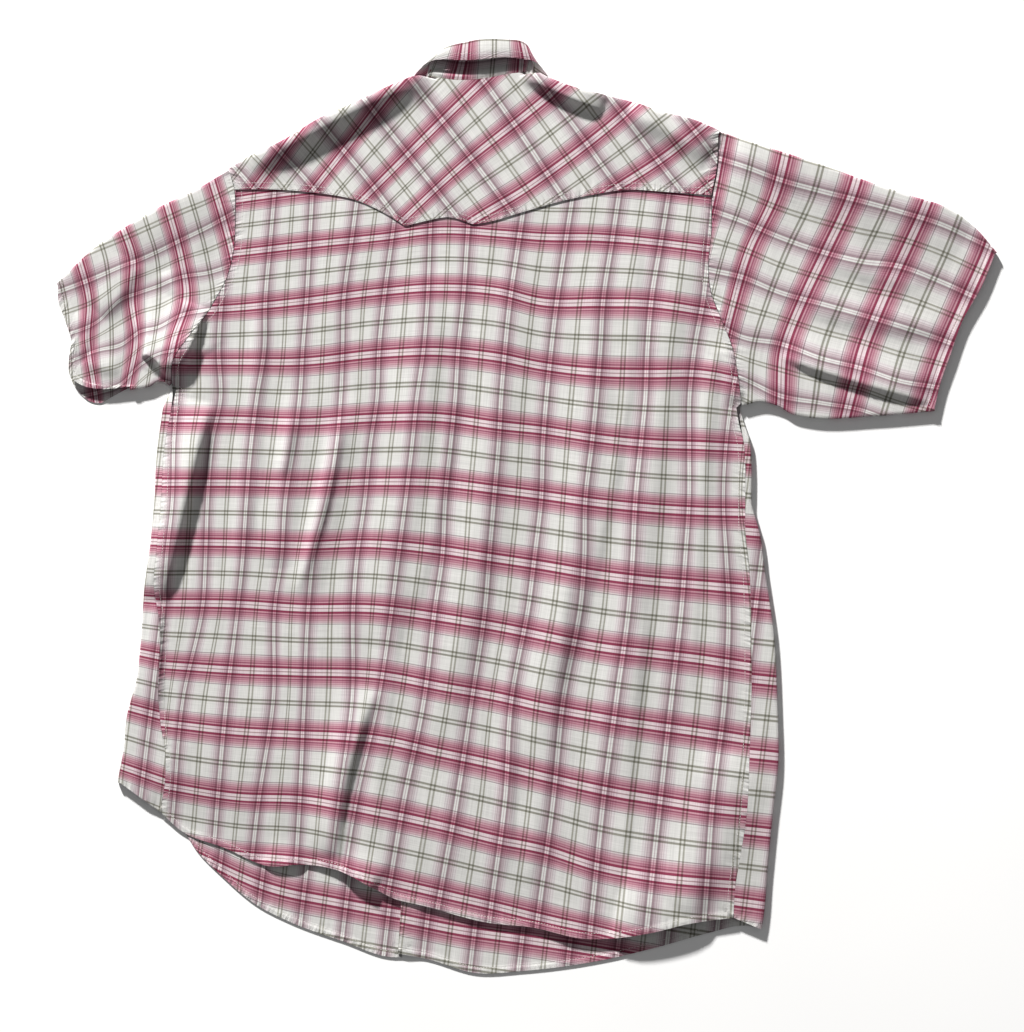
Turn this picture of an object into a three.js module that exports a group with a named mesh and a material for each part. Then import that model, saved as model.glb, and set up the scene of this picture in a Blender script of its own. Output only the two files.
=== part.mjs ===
// A short-sleeved western snap shirt, laid flat on its front with its back up.
// Millimetres, +Z up, +X to the right of the laid shirt, +Y towards its collar.
// Every piece of cloth is a thin wall round a middle surface: the fronts form the lower layer,
// the back panel and the yoke form the upper one, and the layers meet in round turns at the sides,
// the shoulders and along the sleeves.

import * as THREE from 'three';
import { mergeVertices } from 'three/addons/utils/BufferGeometryUtils.js';

// Driving sizes
const WALL = 1.0;
const SEAM_GAP = 0.3;
const ARMHOLE_GAP = 0.5;
const COLLAR_GAP = 0.9;
const FALL_STEP = 1.4;
const SHOULDER_SEAM_GAP = 0.8;
const LOWER_MIDDLE = 0.5;
const UPPER_MIDDLE = 5.4;
const TURN_REACH = 3.2;
const SHOULDER_TURN_REACH = 4.5;
const SHOULDER_STRIP = 9;
const YOKE_LAP = 14;
const YOKE_LIFT = 1.4;

const SNAP_COUNT = 7;
const SNAP_PITCH = 95;
const SNAP_RADIUS = 5.5;
const SNAP_THICKNESS = 1.5;
const TOP_SNAP_BELOW_NECK = 20;
const PLACKET_LIFT = 1.9;
const PLACKET_FLAT_HALF = 14.5;
const PLACKET_SLOPE_END = 30;
const PLACKET_STEP = 1.5;
const LAP_FLAT = 3;
const LAP_SLOPE_END = 20;
const SNAPS_END = -275;

// Where the collar's wings lie under the fronts: an oval round the front of the neck
const WINGS = { x: -45, y: 372, halfWidth: 92, halfLength: 84, slopeEnd: 1.35 };

// Outlines in plan, each row a place on the edge. A row with corner keeps the edge's corner there.
const LEFT_SIDE = [
  { x: -355, y: 120 },
  { x: -361, y: 106 },
  { x: -364, y: 88 },
  { x: -368, y: 58 },
  { x: -371, y: 2 },
  { x: -375, y: -41 },
  { x: -381, y: -82 },
  { x: -383, y: -112 },
  { x: -385, y: -140 },
  { x: -389, y: -172 },
  { x: -398, y: -206 },
  { x: -402, y: -243 },
  { x: -408, y: -274 },
];
const LEFT_SEAM = [
  { x: -349, y: 120 },
  { x: -356, y: 88 },
  { x: -361, y: 58 },
  { x: -364, y: 2 },
  { x: -368, y: -41 },
  { x: -371, y: -82 },
  { x: -366, y: -112 },
  { x: -365, y: -140 },
  { x: -367, y: -180 },
  { x: -365, y: -215 },
  { x: -360, y: -248 },
  { x: -361, y: -277 },
  { x: -366, y: -303 },
];
const RIGHT_SIDE = [
  { x: 216, y: 100 },
  { x: 219, y: 83 },
  { x: 223, y: 68 },
  { x: 225, y: 43 },
  { x: 225, y: 18 },
  { x: 225, y: 4 },
  { x: 228, y: -7 },
  { x: 233, y: -24 },
  { x: 238, y: -60 },
  { x: 247, y: -123 },
  { x: 251, y: -197 },
  { x: 252, y: -251 },
  { x: 246, y: -308 },
  { x: 241, y: -362 },
  { x: 237, y: -409 },
  { x: 235, y: -420 },
];
const RIGHT_SEAM = [
  { x: 210, y: 100 },
  { x: 213, y: 83 },
  { x: 217, y: 68 },
  { x: 219, y: 43 },
  { x: 219, y: 18 },
  { x: 219, y: 1 },
  { x: 219, y: -21 },
  { x: 223, y: -60 },
  { x: 225, y: -136 },
  { x: 225, y: -197 },
  { x: 223, y: -251 },
  { x: 220, y: -308 },
  { x: 214, y: -347 },
  { x: 209, y: -378 },
  { x: 207, y: -409 },
];
const LEFT_ARMHOLE = [
  { x: -296, y: 337 },
  { x: -291, y: 318 },
  { x: -290, y: 292 },
  { x: -293, y: 250 },
  { x: -299, y: 229 },
  { x: -309, y: 210 },
  { x: -321, y: 190 },
  { x: -337, y: 169 },
  { x: -352, y: 144 },
  { x: -354, y: 122 },
];
const RIGHT_ARMHOLE = [
  { x: 192, y: 376 },
  { x: 190, y: 337 },
  { x: 186, y: 316 },
  { x: 185, y: 276 },
  { x: 182, y: 239 },
  { x: 184, y: 218 },
  { x: 195, y: 188 },
  { x: 205, y: 163 },
  { x: 212, y: 129 },
  { x: 215, y: 102 },
];
const LEFT_SHOULDER = [
  { x: -296, y: 339 },
  { x: -278, y: 350 },
  { x: -255, y: 360 },
  { x: -237, y: 369 },
  { x: -206, y: 388 },
  { x: -167, y: 406 },
  { x: -142, y: 418 },
  { x: -113, y: 431 },
];
const RIGHT_SHOULDER = [
  { x: 20, y: 430 },
  { x: 46, y: 420 },
  { x: 71, y: 414 },
  { x: 113, y: 403 },
  { x: 134, y: 395 },
  { x: 161, y: 389 },
  { x: 192, y: 377 },
];
const BACK_NECK = [
  { x: -106, y: 432 },
  { x: -90, y: 431 },
  { x: -74, y: 428 },
  { x: -52, y: 428 },
  { x: -36, y: 430 },
  { x: -15, y: 434 },
  { x: 3, y: 435 },
  { x: 14, y: 434 },
];
const FRONT_NECK = [
  { x: -106, y: 414 },
  { x: -104, y: 392 },
  { x: -93, y: 360 },
  { x: -71, y: 342 },
  { x: -44, y: 337 },
  { x: -17, y: 343 },
  { x: 4, y: 366 },
  { x: 12, y: 392 },
  { x: 14, y: 414 },
];
const YOKE_EDGE = [
  { x: -290, y: 316 },
  { x: -250, y: 316 },
  { x: -211, y: 313 },
  { x: -167, y: 305 },
  { x: -139, y: 292 },
  { x: -120, y: 280, corner: true },
  { x: -100, y: 285 },
  { x: -76, y: 289 },
  { x: -52, y: 282, corner: true },
  { x: -39, y: 284 },
  { x: -4, y: 294 },
  { x: 38, y: 306 },
  { x: 67, y: 312 },
  { x: 101, y: 317 },
  { x: 140, y: 315 },
  { x: 186, y: 312 },
];
const BACK_HEM = [
  { x: -366, y: -303 },
  { x: -344, y: -323 },
  { x: -303, y: -339 },
  { x: -254, y: -358 },
  { x: -227, y: -356 },
  { x: -181, y: -364 },
  { x: -155, y: -378 },
  { x: -132, y: -390 },
  { x: -100, y: -398 },
  { x: -39, y: -414 },
  { x: 7, y: -419 },
  { x: 58, y: -430 },
  { x: 122, y: -424 },
  { x: 160, y: -415 },
  { x: 207, y: -409 },
];
const LEFT_FRONT_HEM = [
  { x: -408, y: -275 },
  { x: -378, y: -296 },
  { x: -344, y: -324 },
  { x: -331, y: -343 },
  { x: -308, y: -366 },
  { x: -269, y: -398 },
  { x: -239, y: -413 },
  { x: -184, y: -433 },
  { x: -133, y: -449 },
  { x: -124, y: -449 },
];
const RIGHT_FRONT_HEM = [
  { x: 235, y: -420 },
  { x: 221, y: -418 },
  { x: 186, y: -425 },
  { x: 135, y: -439 },
  { x: 84, y: -451 },
  { x: 43, y: -458 },
  { x: -3, y: -463 },
  { x: -49, y: -465 },
  { x: -98, y: -451 },
  { x: -128, y: -445 },
];
const LEFT_FRONT_EDGE = [
  { x: -31, y: 340 },
  { x: -60, y: 100 },
  { x: -95, y: -200 },
  { x: -124, y: -449 },
];
const RIGHT_FRONT_EDGE = [
  { x: -59, y: 340 },
  { x: -85, y: 100 },
  { x: -112, y: -200 },
  { x: -128, y: -445 },
];
const LEFT_SLEEVE = {
  top: [
    { x: -297, y: 338 },
    { x: -329, y: 318 },
    { x: -362, y: 302 },
    { x: -403, y: 278 },
    { x: -423, y: 265 },
    { x: -469, y: 224 },
  ],
  under: [
    { x: -356, y: 122 },
    { x: -361, y: 126 },
    { x: -378, y: 121 },
    { x: -395, y: 118 },
  ],
  upperHem: [
    { x: -469, y: 224 },
    { x: -469, y: 210 },
    { x: -461, y: 187 },
    { x: -455, y: 166 },
    { x: -457, y: 149 },
    { x: -455, y: 130 },
    { x: -441, y: 120 },
    { x: -428, y: 117 },
    { x: -395, y: 118 },
  ],
  lowerHem: [
    { x: -469, y: 224 },
    { x: -469, y: 210 },
    { x: -461, y: 187 },
    { x: -455, y: 166 },
    { x: -457, y: 149 },
    { x: -455, y: 127 },
    { x: -446, y: 113 },
    { x: -436, y: 105 },
    { x: -425, y: 103 },
    { x: -415, y: 108 },
    { x: -395, y: 118 },
  ],
};
const RIGHT_SLEEVE = {
  top: [
    { x: 193, y: 376 },
    { x: 225, y: 365 },
    { x: 286, y: 345 },
    { x: 348, y: 323 },
    { x: 388, y: 310 },
    { x: 419, y: 300 },
    { x: 446, y: 282 },
    { x: 470, y: 255 },
  ],
  under: [
    { x: 217, y: 102 },
    { x: 235, y: 106 },
    { x: 252, y: 102 },
    { x: 266, y: 94 },
    { x: 280, y: 91 },
    { x: 348, y: 92 },
    { x: 408, y: 97 },
  ],
  upperHem: [
    { x: 470, y: 255 },
    { x: 458, y: 225 },
    { x: 435, y: 182 },
    { x: 431, y: 171 },
    { x: 425, y: 153 },
    { x: 415, y: 125 },
    { x: 408, y: 97 },
  ],
  lowerHem: [
    { x: 470, y: 255 },
    { x: 458, y: 225 },
    { x: 435, y: 182 },
    { x: 431, y: 171 },
    { x: 425, y: 153 },
    { x: 415, y: 125 },
    { x: 408, y: 97 },
  ],
};

// The largest folds of the upper layer. Each runs from (x1, y1) by (x2, y2) to (x3, y3), is height
// high, and falls away over the reach to its left and to its right as seen along its run.
const FOLDS = [
  { x1: -258, y1: 349, x2: -188, y2: 388, x3: -118, y3: 424, height: 9, left: 45, right: 12 },
  { x1: 30, y1: 418, x2: 85, y2: 400, x3: 165, y3: 374, height: 8, left: 35, right: 11 },
  { x1: -314, y1: 110, x2: -338, y2: 5, x3: -360, y3: -90, height: 8, left: 10, right: 22 },
  { x1: -174, y1: 120, x2: -200, y2: 0, x3: -226, y3: -90, height: 4, left: 14, right: 9 },
  { x1: -228, y1: 120, x2: -238, y2: 20, x3: -250, y3: -60, height: 4, left: 16, right: 16 },
  { x1: -150, y1: -180, x2: -180, y2: -270, x3: -190, y3: -350, height: 7, left: 16, right: 12 },
  { x1: -92, y1: 240, x2: -110, y2: 60, x3: -150, y3: -140, height: 4, left: 18, right: 16 },
  { x1: -20, y1: 240, x2: -40, y2: 0, x3: -95, y3: -260, height: 4, left: 18, right: 18 },
  { x1: 70, y1: 260, x2: 55, y2: 0, x3: -15, y3: -300, height: 4, left: 18, right: 18 },
  { x1: 150, y1: 260, x2: 120, y2: 0, x3: 80, y3: -300, height: 4, left: 18, right: 18 },
  { x1: 205, y1: -240, x2: 190, y2: -330, x3: 150, y3: -400, height: 7, left: 30, right: 30 },
  { x1: 90, y1: -400, x2: 130, y2: -405, x3: 180, y3: -400, height: 8, left: 40, right: 60 },
  { x1: 240, y1: 166, x2: 300, y2: 140, x3: 400, y3: 112, height: 9, left: 22, right: 10 },
  { x1: 206, y1: 362, x2: 310, y2: 328, x3: 440, y3: 274, height: 5, left: 30, right: 40 },
  { x1: -440, y1: 200, x2: -410, y2: 215, x3: -370, y3: 240, height: 6, left: 16, right: 16 },
  { x1: -410, y1: 160, x2: -380, y2: 165, x3: -352, y3: 160, height: 8, left: 14, right: 9 },
];
const FOLD_STEPS = 8;

// The collar, a row for each section from the outer front's end round the back to the inner one's:
// the seam at the neck, the roll where the fall turns over, the fall's free edge, how far the fall
// bulges above the straight line between them, and which way it turns: 1 is up and over at the
// back, -1 is under the fronts. The stand runs on past the fall at both ends.
const COLLAR = [
  { seamX: -34, seamY: 340, seamZ: 2.4, rollX: -36, rollY: 370, rollZ: 2.4, fall: false },
  { seamX: -53, seamY: 340, seamZ: 2.4, rollX: -51, rollY: 371, rollZ: 2.4, fall: true,
    edgeX: -86, edgeY: 304, edgeZ: 0.5, bulge: 0, turn: -1 },
  { seamX: -71, seamY: 345, seamZ: 2.4, rollX: -66, rollY: 377, rollZ: 2.4, fall: true,
    edgeX: -106, edgeY: 322, edgeZ: 0.5, bulge: 0, turn: -1 },
  { seamX: -91, seamY: 364, seamZ: 2.4, rollX: -80, rollY: 394, rollZ: 2.4, fall: true,
    edgeX: -120, edgeY: 358, edgeZ: 0.5, bulge: 0, turn: -1 },
  { seamX: -101, seamY: 392, seamZ: 2.6, rollX: -90, rollY: 420, rollZ: 2.6, fall: true,
    edgeX: -125, edgeY: 396, edgeZ: 0.5, bulge: 0, turn: -1 },
  { seamX: -102, seamY: 412, seamZ: 2.9, rollX: -95, rollY: 437, rollZ: 3.9, fall: true,
    edgeX: -124, edgeY: 426, edgeZ: 0.6, bulge: 0, turn: -1 },
  { seamX: -100, seamY: 424, seamZ: 4.4, rollX: -96, rollY: 444, rollZ: 6.4, fall: true,
    edgeX: -117, edgeY: 435, edgeZ: 6.4, bulge: 0.5, turn: 0 },
  { seamX: -96, seamY: 433, seamZ: 6.2, rollX: -88, rollY: 454, rollZ: 9, fall: true,
    edgeX: -102, edgeY: 442, edgeZ: 11.5, bulge: 0.8, turn: 1 },
  { seamX: -88, seamY: 432, seamZ: 6.6, rollX: -78, rollY: 460, rollZ: 11.5, fall: true,
    edgeX: -84, edgeY: 447, edgeZ: 14.5, bulge: 0.8, turn: 1 },
  { seamX: -68, seamY: 429, seamZ: 6.8, rollX: -60, rollY: 464, rollZ: 12.5, fall: true,
    edgeX: -62, edgeY: 446, edgeZ: 15.5, bulge: 0.8, turn: 1 },
  { seamX: -46, seamY: 430, seamZ: 6.8, rollX: -44, rollY: 467, rollZ: 12.5, fall: true,
    edgeX: -44, edgeY: 447, edgeZ: 16, bulge: 0.8, turn: 1 },
  { seamX: -26, seamY: 433, seamZ: 6.8, rollX: -22, rollY: 467, rollZ: 12.5, fall: true,
    edgeX: -22, edgeY: 449, edgeZ: 16, bulge: 0.8, turn: 1 },
  { seamX: -6, seamY: 436, seamZ: 6.6, rollX: -4, rollY: 465, rollZ: 12, fall: true,
    edgeX: 0, edgeY: 447, edgeZ: 15, bulge: 0.8, turn: 1 },
  { seamX: -1, seamY: 437, seamZ: 6.3, rollX: 4, rollY: 457, rollZ: 9, fall: true,
    edgeX: 14, edgeY: 443, edgeZ: 11.5, bulge: 0.8, turn: 1 },
  { seamX: 3, seamY: 425, seamZ: 4.4, rollX: 7, rollY: 444, rollZ: 6.4, fall: true,
    edgeX: 26, edgeY: 435, edgeZ: 6.4, bulge: 0.5, turn: 0 },
  { seamX: 9, seamY: 412, seamZ: 2.9, rollX: 7, rollY: 436, rollZ: 3.9, fall: true,
    edgeX: 33, edgeY: 424, edgeZ: 0.6, bulge: 0, turn: -1 },
  { seamX: 9, seamY: 392, seamZ: 2.6, rollX: 2, rollY: 420, rollZ: 2.6, fall: true,
    edgeX: 34, edgeY: 396, edgeZ: 0.5, bulge: 0, turn: -1 },
  { seamX: 1, seamY: 368, seamZ: 2.6, rollX: -7, rollY: 396, rollZ: 2.6, fall: true,
    edgeX: 29, edgeY: 360, edgeZ: 0.5, bulge: 0, turn: -1 },
  { seamX: -24, seamY: 345, seamZ: 3.9, rollX: -24, rollY: 377, rollZ: 3.9, fall: true,
    edgeX: 16, edgeY: 324, edgeZ: 0.5, bulge: 0, turn: -1 },
  { seamX: -38, seamY: 341, seamZ: 3.9, rollX: -38, rollY: 371, rollZ: 3.9, fall: true,
    edgeX: -3, edgeY: 304, edgeZ: 0.5, bulge: 0, turn: -2 },
  { seamX: -54, seamY: 341, seamZ: 3.9, rollX: -52, rollY: 370, rollZ: 3.9, fall: false },
];

// Rows and columns of the pieces' grids. Down the body the armhole's rows come first, then the side's.
const ARMHOLE_ROWS = 11;
const SIDE_ROWS = 17;
const NECK_COLUMNS = 5;
const SHOULDER_COLUMNS = 6;
const BACK_COLUMNS = 30;
const YOKE_COLUMNS = 26;
const YOKE_ROWS = 6;
const TURN_COLUMNS = 5;
const STRIP_COLUMNS = 2;
const SLEEVE_SECTIONS = 9;
const FALL_COLUMNS = 5;
const STAND_COLUMNS = 2;
const SNAP_SIDES = 14;

// How far inside the armhole a front's lower layer ends, and where along the armhole pieces begin
const FLAT_RIM = 7;
const SHOULDER_SHARE_OF_ARMHOLE = 0.055;
const BACK_SHARE_OF_ARMHOLE = 0.04;
const TURN_SHARE_OF_ARMHOLE = 0.012;
const LEFT_YOKE_END_SHARE = 0.085;
const RIGHT_YOKE_END_SHARE = 0.23;

// Shares of the front neckline at which the two fronts' closure edges meet it
const LEFT_FRONT_NECK_SHARE = 0.56;
const RIGHT_FRONT_NECK_SHARE = 0.42;

// Distances from the closure's middle at which each front's columns follow its bends
const OUTER_FRONT_BENDS = [-PLACKET_FLAT_HALF, -PLACKET_SLOPE_END];
const INNER_FRONT_BENDS = [PLACKET_FLAT_HALF, 18, PLACKET_SLOPE_END, 36];
const BENDS_END_SHARE = 0.7;
const BEND_SEARCH_STEPS = 30;

const FOLD_END_SHARE = 0.06;
const NORMAL_STEP = 0.004;
const WING_DROP_SHARE = 0.4;
const SNAP_RIM_WIDTH = 1;
const SNAP_RIM_HEIGHT = 0.6;

const CLOTH = { color: 0xd9c3c7, roughness: 0.92, metalness: 0 };
const YOKE_CLOTH = { color: 0xd3b9bf, roughness: 0.92, metalness: 0 };
const PEARL = { color: 0xe9e6e0, roughness: 0.3, metalness: 0.05 };

const mix = (a, b, t) => a + (b - a) * t;
const mixPlace = (a, b, t) => ({ x: mix(a.x, b.x, t), y: mix(a.y, b.y, t) });
const clamp01 = (t) => Math.min(1, Math.max(0, t));

function smoothStep(from, to, value) {
  const t = clamp01((value - from) / (to - from));
  return t * t * (3 - 2 * t);
}

// A smooth line through a table's places, called with a share of its length from 0 to 1
function smoothLine(rows) {
  const knots = [0];
  for (let i = 1; i < rows.length; i += 1) {
    knots.push(knots[i - 1] + Math.hypot(rows[i].x - rows[i - 1].x, rows[i].y - rows[i - 1].y));
  }
  const last = rows.length - 1;
  const secant = (i, axis) => (rows[i + 1][axis] - rows[i][axis]) / (knots[i + 1] - knots[i]);
  const slope = (i, axis, onward) => {
    if (i === 0) return secant(0, axis);
    if (i === last) return secant(last - 1, axis);
    if (rows[i].corner) return secant(onward ? i : i - 1, axis);
    const before = knots[i] - knots[i - 1];
    const after = knots[i + 1] - knots[i];
    return (secant(i - 1, axis) * after + secant(i, axis) * before) / (before + after);
  };
  const line = (share) => {
    const along = clamp01(share) * knots[last];
    let i = 0;
    while (i < last - 1 && knots[i + 1] < along) i += 1;
    const span = knots[i + 1] - knots[i];
    const t = (along - knots[i]) / span;
    const at = (axis) => {
      const square = t * t;
      const cube = square * t;
      return (2 * cube - 3 * square + 1) * rows[i][axis]
        + (cube - 2 * square + t) * span * slope(i, axis, true)
        + (3 * square - 2 * cube) * rows[i + 1][axis]
        + (cube - square) * span * slope(i + 1, axis, false);
    };
    return { x: at('x'), y: at('y') };
  };
  line.reach = knots[last];
  return line;
}

// The unit normal to the left of a line's run
function leftOf(line, share) {
  const a = line(Math.max(0, share - NORMAL_STEP));
  const b = line(Math.min(1, share + NORMAL_STEP));
  const size = Math.hypot(b.x - a.x, b.y - a.y);
  return { x: -(b.y - a.y) / size, y: (b.x - a.x) / size };
}

// A line moved to the left of its run
function shifted(line, distance) {
  const moved = (share) => {
    const place = line(share);
    const normal = leftOf(line, share);
    return { x: place.x + normal.x * distance, y: place.y + normal.y * distance };
  };
  moved.reach = line.reach;
  return moved;
}

// Part of a line, or the line run backwards
function stretch(line, from, to) {
  const part = (share) => line(mix(from, to, share));
  part.reach = line.reach * Math.abs(to - from);
  return part;
}

// A line drawn over at its start to begin at another place
function startedAt(line, start) {
  const from = line(0);
  return (share) => {
    const place = line(share);
    const pull = (1 - share) ** 4;
    return { x: place.x + (start.x - from.x) * pull, y: place.y + (start.y - from.y) * pull };
  };
}

function chain(...lines) {
  const whole = lines.reduce((sum, line) => sum + line.reach, 0);
  const joined = (share) => {
    let along = clamp01(share) * whole;
    for (const line of lines.slice(0, -1)) {
      if (along <= line.reach) return line(along / line.reach);
      along -= line.reach;
    }
    const end = lines[lines.length - 1];
    return end(along / end.reach);
  };
  joined.reach = whole;
  return joined;
}

// A patch of cloth in plan between four edge lines. The first and last edge are drawn to the side
// edges' ends, so that the corners meet.
function patch(left, right, first, end) {
  const drawn = (line, a, b) => (u) => {
    const place = line(u);
    const from = line(0);
    const to = line(1);
    return {
      x: place.x + mix(a.x - from.x, b.x - to.x, u),
      y: place.y + mix(a.y - from.y, b.y - to.y, u),
    };
  };
  const firstEdge = drawn(first, left(0), right(0));
  const lastEdge = drawn(end, left(1), right(1));
  return (u, v) => {
    const straight = mixPlace(firstEdge(u), lastEdge(u), v);
    const leftChord = mixPlace(left(0), left(1), v);
    const rightChord = mixPlace(right(0), right(1), v);
    const leftPlace = left(v);
    const rightPlace = right(v);
    return {
      x: straight.x + (1 - u) * (leftPlace.x - leftChord.x) + u * (rightPlace.x - rightChord.x),
      y: straight.y + (1 - u) * (leftPlace.y - leftChord.y) + u * (rightPlace.y - rightChord.y),
    };
  };
}

// How far a fold raises the upper layer at a place
function foldRise(fold, x, y) {
  let nearest = Infinity;
  let share = 0;
  let side = 0;
  let fromX = fold.x1;
  let fromY = fold.y1;
  for (let i = 1; i <= FOLD_STEPS; i += 1) {
    const t = i / FOLD_STEPS;
    const rest = 1 - t;
    const controlX = 2 * fold.x2 - (fold.x1 + fold.x3) / 2;
    const controlY = 2 * fold.y2 - (fold.y1 + fold.y3) / 2;
    const toX = rest * rest * fold.x1 + 2 * rest * t * controlX + t * t * fold.x3;
    const toY = rest * rest * fold.y1 + 2 * rest * t * controlY + t * t * fold.y3;
    const runX = toX - fromX;
    const runY = toY - fromY;
    const along = clamp01(((x - fromX) * runX + (y - fromY) * runY) / (runX * runX + runY * runY));
    const offX = x - fromX - runX * along;
    const offY = y - fromY - runY * along;
    const off = Math.hypot(offX, offY);
    if (off < nearest) {
      nearest = off;
      share = (i - 1 + along) / FOLD_STEPS;
      side = runX * offY - runY * offX;
    }
    fromX = toX;
    fromY = toY;
  }
  const reach = side > 0 ? fold.left : fold.right;
  const across = nearest / reach;
  const ends = Math.sin(Math.PI * mix(FOLD_END_SHARE, 1 - FOLD_END_SHARE, share));
  return fold.height * ends * Math.exp(-across * across);
}

const upperMiddle = (x, y) => UPPER_MIDDLE + FOLDS.reduce((sum, fold) => sum + foldRise(fold, x, y), 0);

// The closure's middle line and its outer front's edge, at a height on the shirt
const placketShare = (y) => (LEFT_FRONT_EDGE[0].y - y) / (LEFT_FRONT_EDGE[0].y - LEFT_FRONT_EDGE[3].y);
const outerFrontEdge = (y) => mix(LEFT_FRONT_EDGE[0].x, LEFT_FRONT_EDGE[3].x, placketShare(y));
const innerFrontEdge = (y) => mix(RIGHT_FRONT_EDGE[0].x, RIGHT_FRONT_EDGE[3].x, placketShare(y));
const placketMiddle = (y) => (outerFrontEdge(y) + innerFrontEdge(y)) / 2;

// A straight slope from 1 at from to 0 at to
const slopeDown = (from, to, value) => 1 - clamp01((value - from) / (to - from));

// The lower layer is lifted over the snaps and over the collar's wings
function lowerMiddle(x, y) {
  const fromPlacket = Math.abs(x - placketMiddle(y));
  const snaps = slopeDown(PLACKET_FLAT_HALF, PLACKET_SLOPE_END, fromPlacket)
    * slopeDown(-SNAPS_END, -SNAPS_END + PLACKET_SLOPE_END, -y);
  const fromWings = Math.hypot((x - WINGS.x) / WINGS.halfWidth, (y - WINGS.y) / WINGS.halfLength);
  const wings = slopeDown(1, WINGS.slopeEnd, fromWings);
  return LOWER_MIDDLE + PLACKET_LIFT * Math.max(snaps, wings);
}

// The inner front runs over the outer one where they lap
function innerFrontMiddle(x, y) {
  const past = x - outerFrontEdge(y);
  return lowerMiddle(x, y) + PLACKET_STEP * slopeDown(LAP_FLAT, LAP_SLOPE_END, past);
}

const vector = (place, z) => new THREE.Vector3(place.x, place.y, z);

// A closed wall of even thickness round a grid of middle points. Closed across, the grid is a tube.
function wallGeometry(points, acrossIsClosed = false) {
  const rows = points.length;
  const columns = points[0].length;
  const wrap = (j) => (acrossIsClosed ? (j + columns) % columns : Math.min(columns - 1, Math.max(0, j)));
  const hold = (i) => Math.min(rows - 1, Math.max(0, i));
  const positions = [];
  const alongRun = new THREE.Vector3();
  const acrossRun = new THREE.Vector3();
  const normal = new THREE.Vector3();
  for (const side of [1, -1]) {
    for (let i = 0; i < rows; i += 1) {
      for (let j = 0; j < columns; j += 1) {
        alongRun.subVectors(points[hold(i + 1)][j], points[hold(i - 1)][j]);
        acrossRun.subVectors(points[i][wrap(j + 1)], points[i][wrap(j - 1)]);
        normal.crossVectors(acrossRun, alongRun).normalize();
        const place = points[i][j];
        const out = side * WALL / 2;
        positions.push(place.x + normal.x * out, place.y + normal.y * out, place.z + normal.z * out);
      }
    }
  }
  const vertex = (side, i, j) => side * rows * columns + i * columns + wrap(j);
  const faces = [];
  const quad = (a, b, c, d) => faces.push(a, b, c, a, c, d);
  const spans = acrossIsClosed ? columns : columns - 1;
  const end = rows - 1;
  const rim = columns - 1;
  for (let i = 0; i < rows - 1; i += 1) {
    for (let j = 0; j < spans; j += 1) {
      quad(vertex(0, i, j), vertex(0, i, j + 1), vertex(0, i + 1, j + 1), vertex(0, i + 1, j));
      quad(vertex(1, i, j), vertex(1, i + 1, j), vertex(1, i + 1, j + 1), vertex(1, i, j + 1));
    }
  }
  for (let j = 0; j < spans; j += 1) {
    quad(vertex(0, 0, j + 1), vertex(0, 0, j), vertex(1, 0, j), vertex(1, 0, j + 1));
    quad(vertex(0, end, j), vertex(0, end, j + 1), vertex(1, end, j + 1), vertex(1, end, j));
  }
  if (!acrossIsClosed) {
    for (let i = 0; i < rows - 1; i += 1) {
      quad(vertex(0, i, 0), vertex(0, i + 1, 0), vertex(1, i + 1, 0), vertex(1, i, 0));
      quad(vertex(0, i + 1, rim), vertex(0, i, rim), vertex(1, i, rim), vertex(1, i + 1, rim));
    }
  }
  const geometry = new THREE.BufferGeometry();
  geometry.setAttribute('position', new THREE.Float32BufferAttribute(positions, 3));
  geometry.setIndex(enclosedVolume(positions, faces) < 0 ? turnedOver(faces) : faces);
  geometry.computeVertexNormals();
  return geometry;
}

function enclosedVolume(positions, faces) {
  const a = new THREE.Vector3();
  const b = new THREE.Vector3();
  const c = new THREE.Vector3();
  let sum = 0;
  for (let k = 0; k < faces.length; k += 3) {
    a.fromArray(positions, 3 * faces[k]);
    b.fromArray(positions, 3 * faces[k + 1]);
    c.fromArray(positions, 3 * faces[k + 2]);
    sum += a.dot(b.cross(c)) / 6;
  }
  return sum;
}

function turnedOver(faces) {
  const turned = [];
  for (let k = 0; k < faces.length; k += 3) turned.push(faces[k], faces[k + 2], faces[k + 1]);
  return turned;
}

const shirt = new THREE.Group();

function addPiece(name, geometry, look) {
  const piece = new THREE.Mesh(geometry, new THREE.MeshStandardMaterial(look));
  piece.name = name;
  shirt.add(piece);
  return piece;
}

// The round turn from one layer to the other: places over the turn from the layer it leaves
function turnPoints(base, outward, reach, fromZ, toZ, count) {
  const points = [];
  for (let k = 1; k <= count; k += 1) {
    const angle = Math.PI * (k / count - 0.5);
    points.push(new THREE.Vector3(
      base.x + outward.x * reach * Math.cos(angle),
      base.y + outward.y * reach * Math.cos(angle),
      mix(fromZ, toZ, (1 + Math.sin(angle)) / 2),
    ));
  }
  return points;
}

const lines = {
  leftSide: smoothLine(LEFT_SIDE),
  rightSide: smoothLine(RIGHT_SIDE),
  leftSeam: smoothLine(LEFT_SEAM),
  rightSeam: smoothLine(RIGHT_SEAM),
  leftArmhole: smoothLine(LEFT_ARMHOLE),
  rightArmhole: smoothLine(RIGHT_ARMHOLE),
  leftShoulder: smoothLine(LEFT_SHOULDER),
  rightShoulder: smoothLine(RIGHT_SHOULDER),
  backNeck: smoothLine(BACK_NECK),
  frontNeck: smoothLine(FRONT_NECK),
  yokeEdge: smoothLine(YOKE_EDGE),
};

// Rows down the body: the first ones follow the armhole, the others the side
const BODY_ROWS = ARMHOLE_ROWS + SIDE_ROWS;
const armholeShare = (row, first) => Math.max(first, row / ARMHOLE_ROWS);
const sideShare = (row) => (row - ARMHOLE_ROWS) / SIDE_ROWS;

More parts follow.
